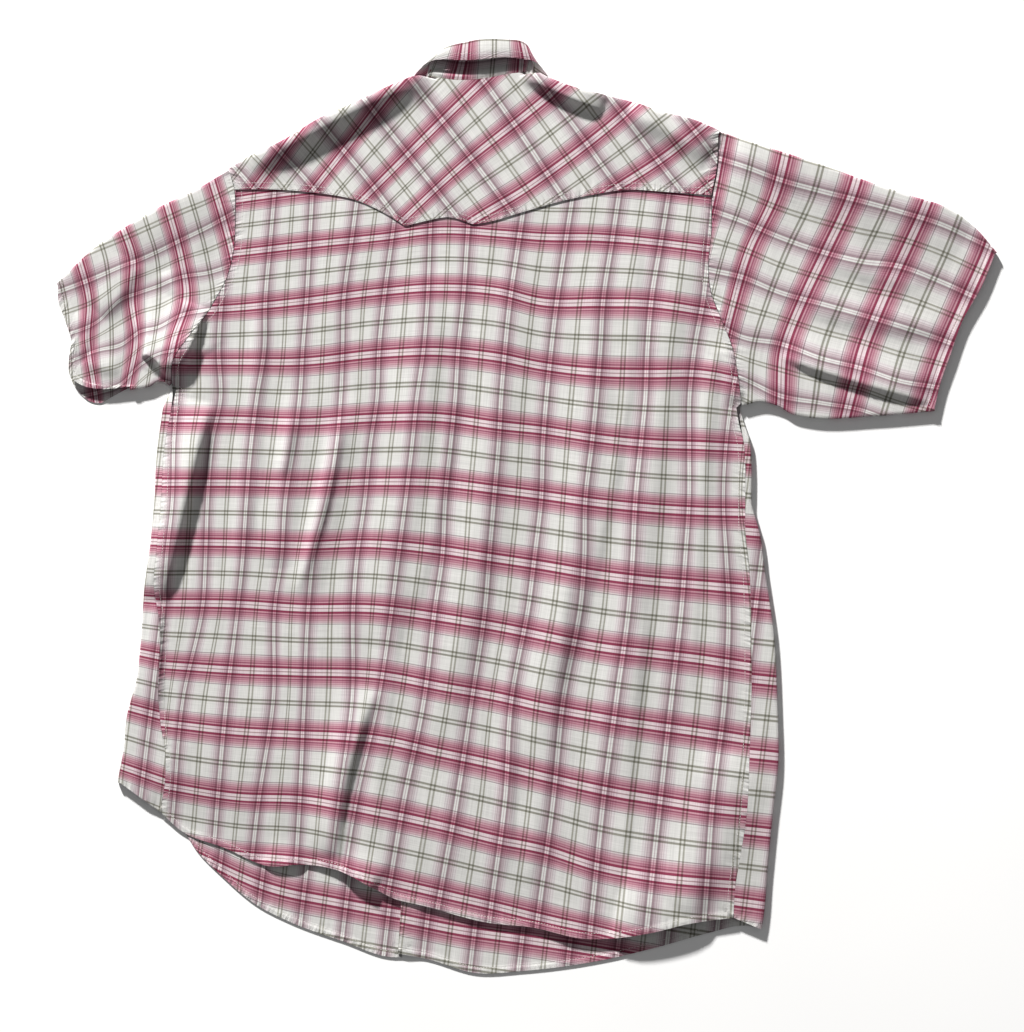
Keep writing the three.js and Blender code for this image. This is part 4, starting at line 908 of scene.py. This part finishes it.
def hem_rise(distance):
    """A narrow turned hem: its extra thickness, and the dent of its stitches."""
    band = 1 - smooth_step(HEM_WIDTH - HEM_EDGE_HALF, HEM_WIDTH + HEM_EDGE_HALF, distance)
    dent = np.exp(-((distance - STITCH_INSET) / STITCH_DENT_WIDTH) ** 2)
    return HEM_RISE * band - STITCH_DENT_DEPTH * dent


# How far from the edge the last rows of points are
HEM_STOPS = np.array([9.0, 7.8, 7.2, 6.6, 5.9, 5.2, 4.4, 3.0, 1.5, 0.6, 0.0])
BEFORE_STOPS = 3.0


def hem_shares(count, reach, stops=HEM_STOPS):
    """Row shares from 0 to 1 that close up at the hem; reach is the piece's length."""
    main = np.linspace(0.0, 1.0 - (stops[0] + BEFORE_STOPS) / reach, count)
    return np.concatenate([main, 1.0 - stops / reach])


lines = {name: smooth_line(rows) for name, rows in (
    ("left_side", LEFT_SIDE), ("right_side", RIGHT_SIDE), ("left_seam", LEFT_SEAM),
    ("right_seam", RIGHT_SEAM), ("left_armhole", LEFT_ARMHOLE), ("right_armhole", RIGHT_ARMHOLE),
    ("left_shoulder", LEFT_SHOULDER), ("right_shoulder", RIGHT_SHOULDER), ("back_neck", BACK_NECK),
    ("front_neck", FRONT_NECK))}
lines["yoke_edge"] = chain(*[smooth_line(sweep) for sweep in YOKE_EDGE])
lines["under_yoke"] = smooth_line([(x, y + YOKE_LAP) for sweep in YOKE_EDGE for x, y in sweep[1:-1]])


def armhole_share(row, first):
    return np.interp(row / ARMHOLE_ROWS, [0.0, 1 / ARMHOLE_ROWS, 1.0], [first, 1 / ARMHOLE_ROWS, 1.0])


def body_edge(armhole, side, first):
    def place(v):
        row = v * BODY_ROWS
        upper = armhole(armhole_share(row, first))
        lower = side(clamp01((row - ARMHOLE_ROWS) / SIDE_ROWS))
        return np.where((row <= ARMHOLE_ROWS)[..., None], upper, lower)
    return Line(place, armhole.reach + side.reach)


def with_height(plan_points, middle):
    z = middle(plan_points[..., 0], plan_points[..., 1])
    return np.concatenate([plan_points, z[..., None]], axis=-1)


BACK_COLUMNS, BACK_ROWS, BACK_LENGTH = 178, 226, 700.0


def add_back_panel():
    left = body_edge(shifted(lines["left_armhole"], SEAM_GAP), shifted(lines["left_seam"], SEAM_GAP),
                     BACK_SHARE_OF_ARMHOLE)
    right = body_edge(shifted(lines["right_armhole"], -SEAM_GAP), shifted(lines["right_seam"], -SEAM_GAP),
                      BACK_SHARE_OF_ARMHOLE)
    plan = patch(left, right, lines["under_yoke"], smooth_line(BACK_HEM))
    u = np.linspace(0, 1, BACK_COLUMNS)[None, :]
    v = hem_shares(BACK_ROWS, BACK_LENGTH)[:, None]
    points = with_height(plan(u, v), upper_middle)
    from_hem = lengths(points, 0)
    from_hem = from_hem[-1:] - from_hem
    points[..., 2] += hem_rise(from_hem)
    seam = seam_places(points, ("left", "right", "last"))
    return cloth_piece("back_panel_cloth", points, back_lattice(points), seam, body_cloth), points


FRONT_COLUMNS, FRONT_ROWS, FRONT_LENGTH, TURN_COLUMNS, STRIP_COLUMNS = 84, 190, 800.0, 8, 14
TURN_FLATNESS = 0.2


def turn_places(base, outward, reach, from_z, to_z, count):
    """A flattened round turn from one layer to the other, for every row at once."""
    angle = np.pi * (np.arange(1, count + 1) / count - 0.5)
    reached = reach * clamp01(np.cos(angle)) ** TURN_FLATNESS
    out = base[:, None, :] + outward[:, None, :] * reached[None, :, None]
    down = smooth_step(-1, 1, np.sin(angle))
    z = mix(from_z[:, None], to_z[:, None], down[None, :])
    return np.concatenate([out, z[..., None]], axis=-1)


def add_front(name, plan, armhole, side, seam, outward_sign, middle, lattice):
    v = hem_shares(FRONT_ROWS, FRONT_LENGTH)
    u = np.linspace(0, 1, FRONT_COLUMNS)
    flat = with_height(plan(u[None, :], v[:, None]), middle)
    base = flat[:, -1, :2]
    row = v * BODY_ROWS
    wrap = TURN_COLUMNS + STRIP_COLUMNS
    edge = armhole(armhole_share(np.minimum(row, ARMHOLE_ROWS), SHOULDER_SHARE_OF_ARMHOLE))
    across = (np.arange(1, wrap + 1) / wrap)[None, :, None]
    beside = with_height(mix(base[:, None, :], edge[:, None, :], across), middle)
    share = clamp01((row - ARMHOLE_ROWS) / SIDE_ROWS)
    outward = left_of(side, share) * outward_sign
    low, high = middle(base[:, 0], base[:, 1]), upper_middle(base[:, 0], base[:, 1])
    turned = turn_places(base, outward, TURN_REACH, low, high, TURN_COLUMNS)
    strip = (np.arange(1, STRIP_COLUMNS + 1) / STRIP_COLUMNS)[None, :, None]
    over = with_height(mix(base[:, None, :], seam(share)[:, None, :], strip), upper_middle)
    wrapped = np.concatenate([turned, over], axis=1)
    turning = clamp01(row - ARMHOLE_ROWS)[:, None, None]
    points = np.concatenate([flat, mix(beside, wrapped, turning)], axis=1)
    from_hem = lengths(points, 0)
    from_hem = from_hem[-1:] - from_hem
    points[:, :FRONT_COLUMNS, 2] += hem_rise(from_hem[:, :FRONT_COLUMNS])
    places = seam_places(points, ("left", "last"))
    return cloth_piece(name, points, lattice(points), places, body_cloth), points


def front_outer(armhole, side, inward_sign):
    return body_edge(shifted(armhole, inward_sign * FLAT_RIM), shifted(side, inward_sign * TURN_REACH),
                     SHOULDER_SHARE_OF_ARMHOLE)


def shoulder_seam(shoulder):
    return shifted(shoulder, -(SHOULDER_TURN_REACH + SHOULDER_STRIP + SHOULDER_SEAM_GAP))


def add_fronts():
    left_neck = stretch(lines["front_neck"], LEFT_FRONT_NECK_SHARE, 0)
    right_neck = stretch(lines["front_neck"], RIGHT_FRONT_NECK_SHARE, 1)
    left_plan = patch(smooth_line(LEFT_FRONT_EDGE), front_outer(lines["left_armhole"], lines["left_side"], 1),
                      chain(left_neck, stretch(shoulder_seam(lines["left_shoulder"]), 1, 0)),
                      stretch(smooth_line(LEFT_FRONT_HEM), 1, 0))
    right_plan = patch(smooth_line(RIGHT_FRONT_EDGE),
                       front_outer(lines["right_armhole"], lines["right_side"], -1),
                       chain(right_neck, shoulder_seam(lines["right_shoulder"])),
                       stretch(smooth_line(RIGHT_FRONT_HEM), 1, 0))
    left = add_front("left_front_cloth", left_plan, shifted(lines["left_armhole"], SEAM_GAP),
                     lines["left_side"], lines["left_seam"], -1, lower_middle, left_front_lattice)
    right = add_front("right_front_cloth", right_plan, shifted(lines["right_armhole"], -SEAM_GAP),
                      lines["right_side"], lines["right_seam"], 1, inner_front_middle, right_front_lattice)
    return left, right


YOKE_COLUMNS, YOKE_ROWS, YOKE_DEPTH = 210, 52, 100.0
YOKE_SWITCH = 1 / 26
YOKE_EDGE_STOPS = np.array([4.5, 3.0, 1.8, 1.0, 0.4, 0.0])
YOKE_POINTS = YOKE_ROWS + len(YOKE_EDGE_STOPS)


def add_yoke():
    inset = -SHOULDER_TURN_REACH
    top = chain(shifted(lines["left_shoulder"], inset), shifted(lines["back_neck"], inset),
                shifted(lines["right_shoulder"], inset))
    outside = chain(lines["left_shoulder"], lines["back_neck"], lines["right_shoulder"])
    neck_from = lines["left_shoulder"].reach / top.reach
    neck_to = 1 - lines["right_shoulder"].reach / top.reach
    left_end = stretch(shifted(lines["left_armhole"], SEAM_GAP), LEFT_YOKE_END_SHARE, TURN_SHARE_OF_ARMHOLE)
    right_end = stretch(shifted(lines["right_armhole"], -SEAM_GAP), RIGHT_YOKE_END_SHARE,
                        TURN_SHARE_OF_ARMHOLE)
    plan = patch(left_end, right_end, lines["yoke_edge"], top)
    u = np.linspace(0, 1, YOKE_COLUMNS)
    v = 1 - hem_shares(YOKE_ROWS, YOKE_DEPTH, YOKE_EDGE_STOPS)[::-1]
    upper = with_height(plan(u[:, None], v[None, :]), upper_middle)
    upper[..., 2] += YOKE_LIFT
    base = upper[:, -1, :2]
    outward = left_of(outside, u)
    high, low = upper[:, -1, 2], lower_middle(base[:, 0], base[:, 1])
    wrap = TURN_COLUMNS + STRIP_COLUMNS
    out = SHOULDER_TURN_REACH * np.arange(1, wrap + 1) / wrap
    neck = base[:, None, :] + outward[:, None, :] * out[None, :, None]
    neck = np.concatenate([neck, np.broadcast_to(high[:, None, None], neck.shape[:2] + (1,))], axis=-1)
    turned = turn_places(base, outward, SHOULDER_TURN_REACH, high, low, TURN_COLUMNS)
    inward = SHOULDER_STRIP * np.arange(1, STRIP_COLUMNS + 1) / STRIP_COLUMNS
    under = with_height(base[:, None, :] - outward[:, None, :] * inward[None, :, None], lower_middle)
    wrapped = np.concatenate([turned, under], axis=1)
    at_neck = np.minimum(clamp01((u - neck_from) / YOKE_SWITCH), clamp01((neck_to - u) / YOKE_SWITCH))
    points = np.concatenate([upper, mix(wrapped, neck, at_neck[:, None, None])], axis=1)
    seam = seam_places(points, ("left", "first", "last"))
    return cloth_piece("back_yoke_cloth", points, yoke_lattice(points), seam, yoke_cloth), points


SLEEVE_SECTIONS, SLEEVE_COLUMNS, SLEEVE_LENGTH = 96, 84, 200.0


def add_sleeve(name, table, armhole, top_sign, lattice):
    top, under = smooth_line(table["top"]), smooth_line(table["under"])
    clear = stretch(shifted(armhole, top_sign * ARMHOLE_GAP), TURN_SHARE_OF_ARMHOLE,
                    1 - TURN_SHARE_OF_ARMHOLE)
    top_inside = started_at(shifted(top, -top_sign * TURN_REACH), clear(0.0))
    under_inside = started_at(shifted(under, top_sign * TURN_REACH), clear(1.0))
    upper_plan = patch(top_inside, under_inside, clear, smooth_line(table["upper_hem"]))
    lower_plan = patch(top_inside, under_inside, clear, smooth_line(table["lower_hem"]))
    s = hem_shares(SLEEVE_SECTIONS, SLEEVE_LENGTH)
    u = np.linspace(0, 1, SLEEVE_COLUMNS)
    upper = with_height(upper_plan(u[None, :], s[:, None]), upper_middle)
    lower = with_height(lower_plan(u[None, ::-1], s[:, None]), lambda x, y: np.full(x.shape, LOWER_MIDDLE))
    from_hem = lengths(upper, 0)
    upper[..., 2] += hem_rise(from_hem[-1:] - from_hem)
    top_out = left_of(top, s) * top_sign
    under_out = -left_of(under, s) * top_sign
    flat_z = np.full(len(s), LOWER_MIDDLE)
    under_turn = turn_places(upper[:, -1, :2], under_out, TURN_REACH, upper[:, -1, 2], flat_z, TURN_COLUMNS)
    top_turn = turn_places(upper[:, 0, :2], top_out, TURN_REACH, flat_z, upper[:, 0, 2], TURN_COLUMNS)
    points = np.concatenate([upper, under_turn[:, :-1], lower, top_turn[:, :-1]], axis=1)
    seam = seam_places(points, ("first", "last"))
    return cloth_piece(name, points, lattice(points), seam, body_cloth, closed=True), points


COLLAR_STEPS, FALL_COLUMNS, STAND_COLUMNS = 8, 26, 30
BACK_ROLL_FROM_Y = 440


def along_collar(values, steps):
    """Section values carried smoothly along the collar, steps to each gap between sections."""
    count = len(values)
    knots = np.arange(count, dtype=float)
    at = np.linspace(0, count - 1, (count - 1) * steps + 1)
    shape = values.shape[1:]
    return hermite(knots, values.reshape(count, -1), at).reshape((len(at),) + shape)


def collar_lattice(points, roll_column):
    """The plaid along the collar, with a band of the weft at its place behind the neck."""
    along = lengths(points, 0)[:, roll_column]
    middle = np.argmin(np.abs(points[:, roll_column, 0] + VIEW_LEFT - COLLAR_WEFT_START)
                       + FAR * (points[:, roll_column, 1] < BACK_ROLL_FROM_Y))
    v = (along - along[middle]) / COLLAR_WEFT_PITCH
    u = COLLAR_WARP_START + lengths(points, 1) / COLLAR_WARP_PITCH
    return np.stack([u, np.broadcast_to(v[:, None], u.shape)], axis=-1)


def add_collar():
    stand, fall = [], []
    for section in COLLAR:
        seam, roll = np.array(section[:3], dtype=float), np.array(section[3:6], dtype=float)
        run = (roll - seam) / np.linalg.norm(roll - seam)
        has_fall = len(section) > COLLAR_TURN
        at_back = has_fall and section[COLLAR_TURN] == 1
        foot = seam + run * (-COLLAR_TUCK if at_back else COLLAR_GAP)
        t = np.linspace(0, 1, STAND_COLUMNS)[:, None]
        wall = mix(foot, roll, t)
        if at_back:
            wall[:, 2] -= COLLAR_SINK * (1 - smooth_step(0, COLLAR_SINK_SHARE, t[:, 0]))
            sag = (smooth_step(STAND_DROP_START, STAND_DROP_END, t[:, 0])
                   * (1 - smooth_step(STAND_CLIMB_START, 1, t[:, 0])))
            wall[:, 2] -= STAND_SAG * (roll[2] - seam[2]) * sag
            wall[:, 2] += STAND_CLOSE * smooth_step(STAND_CLOSE_START, 1, t[:, 0])
        stand.append(wall)
        if not has_fall:
            continue
        edge, bulge, turn = np.array(section[6:9], dtype=float), section[9], section[COLLAR_TURN]
        start = roll - run * FALL_LAP * abs(np.sign(turn))
        start[2] += turn * FALL_STEP
        if turn == 0:
            start[0] += CORNER_STEP * np.sign(edge[0] - roll[0])
        t = np.linspace(0, 1, FALL_COLUMNS)
        row = mix(start, edge, t[:, None])
        if turn < 0:
            row[:, 2] = mix(start[2], edge[2], smooth_step(0, WING_DROP_SHARE, t))
        row[:, 2] += bulge * np.sin(np.pi * t)
        fall.append(row)
    stand, fall = along_collar(np.array(stand), COLLAR_STEPS), along_collar(np.array(fall), COLLAR_STEPS)
    stand_piece = cloth_piece("collar_stand_cloth", stand, collar_lattice(stand, STAND_COLUMNS - 1),
                              seam_places(stand, ("left",)), collar_cloth, wall=COLLAR_WALL)
    fall_piece = cloth_piece("collar_fall_cloth", fall, collar_lattice(fall, 0),
                             seam_places(fall, ("right",)), collar_cloth, wall=COLLAR_WALL)
    return (stand_piece, stand), (fall_piece, fall)


# Snaps, with a pearl cap in a metal ring
def lathe(profile, sides, centre):
    """A round form from radius and height pairs, as vertices and faces."""
    angle = np.linspace(0, 2 * np.pi, sides, endpoint=False)
    profile = np.array(profile, dtype=float)
    ring = np.stack([np.cos(angle), np.sin(angle), np.zeros(sides)], axis=-1)
    rows = profile[:, 0, None, None] * ring[None] + profile[:, 1, None, None] * np.array([0, 0, 1.0])
    vertices = rows.reshape(-1, 3) + centre
    faces = []
    count = len(profile)
    for k in range(count - 1):
        for j in range(sides):
            n = (j + 1) % sides
            faces.append((k * sides + j, k * sides + n, (k + 1) * sides + n, (k + 1) * sides + j))
    return vertices, faces


CAP_PROFILE = [(0.05, 0.0), (2.2, 0.04), (3.6, 0.2), (4.3, 0.5), (4.35, 0.9), (0.05, 0.95)]
RING_PROFILE = [(4.2, 0.6), (4.4, 0.2), (4.9, 0.12), (5.4, 0.5), (5.5, 1.0), (5.3, 1.4), (4.2, 1.45),
                (4.2, 0.6)]
SNAP_SIDES = 32


def add_snaps():
    for i in range(SNAP_COUNT):
        y = LEFT_FRONT_EDGE[0][1] - TOP_SNAP_BELOW_NECK - i * SNAP_PITCH
        centre = np.array([placket_middle(y), y, 0.0])
        cap, cap_faces = lathe(CAP_PROFILE, SNAP_SIDES, centre)
        ring, ring_faces = lathe(RING_PROFILE, SNAP_SIDES, centre)
        vertices = placed(np.concatenate([cap, ring]))
        ring_faces = [tuple(k + len(cap) for k in face) for face in ring_faces]
        faces = np.array(cap_faces + ring_faces)[:, ::-1]
        piece = make_mesh(f"snap_{i + 1}_cap", vertices, faces, [pearl, ring_metal])
        kinds = [0] * len(cap_faces) + [1] * len(ring_faces)
        piece.data.polygons.foreach_set("material_index", kinds)
        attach(piece, "root")
        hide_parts(f"snap_{i + 1}")


STITCH_LENGTH, STITCH_GAP, STITCH_RADIUS, STITCH_SIDES, STITCH_SINK = 2.1, 0.9, 0.22, 6, 0.1
# A stitch's outline: shares of its length, and of its radius there
STITCH_SHAPE = ((0.0, 0.35), (0.18, 1.0), (0.82, 1.0), (1.0, 0.35))


def stitch_row(name, path, lift):
    """Stitches of thread along a path in millimetres, each a short rounded bar on the cloth."""
    steps = np.linalg.norm(np.diff(path, axis=0), axis=-1)
    reach = np.concatenate([[0.0], np.cumsum(steps)])
    starts = np.arange(0.0, reach[-1] - STITCH_LENGTH, STITCH_LENGTH + STITCH_GAP)
    vertices, faces = [], []
    for start in starts:
        a = np.array([np.interp(start, reach, path[:, k]) for k in range(3)])
        b = np.array([np.interp(start + STITCH_LENGTH, reach, path[:, k]) for k in range(3)])
        run = (b - a) / np.linalg.norm(b - a)
        side = np.cross(run, [0, 0, 1.0])
        side /= np.linalg.norm(side)
        up = np.cross(side, run)
        first = len(vertices)
        for share, width in STITCH_SHAPE:
            middle = mix(a, b, share) + up * (lift - STITCH_SINK + STITCH_SINK * width)
            for k in range(STITCH_SIDES):
                angle = 2 * np.pi * k / STITCH_SIDES
                vertices.append(middle + STITCH_RADIUS * width * (side * np.cos(angle) + up * np.sin(angle)))
        for ring in range(len(STITCH_SHAPE) - 1):
            for k in range(STITCH_SIDES):
                n = (k + 1) % STITCH_SIDES
                low, high = first + ring * STITCH_SIDES, first + (ring + 1) * STITCH_SIDES
                faces.append((low + k, low + n, high + n, high + k))
    piece = make_mesh(name, placed(np.array(vertices)), np.array(faces), [thread])
    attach(piece, "root")


def inset_path(points, axis, distance):
    """The path across a grid at a distance from its last row or column."""
    grid = points if axis == 0 else points.transpose(1, 0, 2)
    reach = lengths(grid, 0)
    path = []
    for j in range(grid.shape[1]):
        along = reach[:, j]
        at = along[-1] - distance
        path.append([np.interp(at, along, grid[:, j, k]) for k in range(3)])
    return np.array(path)


back, back_points = add_back_panel()
yoke, yoke_points = add_yoke()
(left_front, left_front_points), (right_front, right_front_points) = add_fronts()
left_sleeve, left_sleeve_points = add_sleeve("left_sleeve_cloth", LEFT_SLEEVE, lines["left_armhole"], -1,
                                             left_sleeve_lattice)
right_sleeve, right_sleeve_points = add_sleeve("right_sleeve_cloth", RIGHT_SLEEVE, lines["right_armhole"], 1,
                                               right_sleeve_lattice)
(stand, stand_points), (fall, fall_points) = add_collar()
add_snaps()

SURFACE, SEAM_STITCH_INSET, EDGE_STITCH_INSET = CLOTH / 2, 6.5, 1.8
yoke_top = yoke_points[:, :YOKE_POINTS]
stitches = {
    "back_hem_stitches": (back_points, 0, STITCH_INSET),
    "back_left_seam_stitches": (back_points[:, ::-1], 1, SEAM_STITCH_INSET),
    "back_right_seam_stitches": (back_points, 1, SEAM_STITCH_INSET),
    "yoke_edge_stitches": (yoke_top[:, ::-1], 1, EDGE_STITCH_INSET),
    "yoke_second_stitches": (yoke_top[:, ::-1], 1, SEAM_STITCH_INSET),
    "yoke_left_seam_stitches": (yoke_top[::-1], 0, SEAM_STITCH_INSET),
    "yoke_right_seam_stitches": (yoke_top, 0, SEAM_STITCH_INSET),
    "collar_edge_stitches": (fall_points, 1, SEAM_STITCH_INSET),
    "left_front_hem_stitches": (left_front_points[:, :FRONT_COLUMNS], 0, STITCH_INSET),
    "right_front_hem_stitches": (right_front_points[:, :FRONT_COLUMNS], 0, STITCH_INSET),
    "left_sleeve_hem_stitches": (left_sleeve_points[:, :SLEEVE_COLUMNS], 0, STITCH_INSET),
    "right_sleeve_hem_stitches": (right_sleeve_points[:, :SLEEVE_COLUMNS], 0, STITCH_INSET),
}
for name, (points, axis, distance) in stitches.items():
    stitch_row(name, inset_path(points, axis, distance), SURFACE)

for piece, node, slot in (
        (back, "back_panel", "body_cloth"), (yoke, "back_yoke", "yoke_cloth"),
        (left_front, "left_front", "body_cloth"), (right_front, "right_front", "body_cloth"),
        (left_sleeve, "left_sleeve", "body_cloth"), (right_sleeve, "right_sleeve", "body_cloth"),
        (stand, "collar_stand", "body_cloth"), (fall, "collar_fall", "body_cloth")):
    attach(piece, "root")
    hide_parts(node)


FLOOR_HALF, FLOOR_DROP = 6.0, 0.0002


def add_floor():
    mesh = bpy.data.meshes.new("floor")
    corners = [(x * FLOOR_HALF, y * FLOOR_HALF, 0) for x, y in ((-1, -1), (1, -1), (1, 1), (-1, 1))]
    mesh.from_pydata(corners, [], [(0, 1, 2, 3)])
    mesh.materials.append(floor_material())
    floor = bpy.data.objects.new("floor", mesh)
    bpy.context.scene.collection.objects.link(floor)
    floor.location.z = -FLOOR_DROP


SURROUND_STRENGTH = 0.20
KEY_PLACE, KEY_SIZE, KEY_ENERGY, KEY_COLOUR = (-3.55, 7.66, 3.25), 0.6, 2160.0, (1.0, 0.99, 0.975)


def add_light(name, place, size, energy, colour):
    """A square lamp aimed at the shirt's middle."""
    light = bpy.data.lights.new(name, "AREA")
    light.size = size
    light.energy = energy
    light.color = colour
    lamp = bpy.data.objects.new(name, light)
    lamp.location = place
    lamp.rotation_euler = (-Vector(place)).to_track_quat("-Z", "Y").to_euler()
    bpy.context.scene.collection.objects.link(lamp)


def add_studio():
    world = bpy.data.worlds.new("soft_studio")
    world.use_nodes = True
    world.node_tree.nodes["Background"].inputs[0].default_value = (1.0, 1.0, 1.0, 1.0)
    world.node_tree.nodes["Background"].inputs[1].default_value = SURROUND_STRENGTH
    bpy.context.scene.world = world
    add_light("key", KEY_PLACE, KEY_SIZE, KEY_ENERGY, KEY_COLOUR)
    bpy.context.scene.view_settings.view_transform = "Standard"


SENSOR_HEIGHT, CLIP_END = 36.0, 20.0


def add_camera():
    camera = bpy.data.cameras.new("photo_camera")
    camera.sensor_fit = "VERTICAL"
    camera.sensor_height = SENSOR_HEIGHT
    camera.lens = SENSOR_HEIGHT * CAMERA_HEIGHT / (VIEW_HEIGHT * MM)
    camera.clip_end = CLIP_END
    eye = bpy.data.objects.new("photo_camera", camera)
    middle_x = (VIEW_WIDTH / 2 - VIEW_LEFT - CENTRE_X) * MM
    middle_y = (VIEW_TOP - VIEW_HEIGHT / 2 - CENTRE_Y) * MM
    eye.location = (middle_x, middle_y, CAMERA_HEIGHT)
    bpy.context.scene.collection.objects.link(eye)
    bpy.context.scene.camera = eye


add_floor()
add_studio()
add_camera()
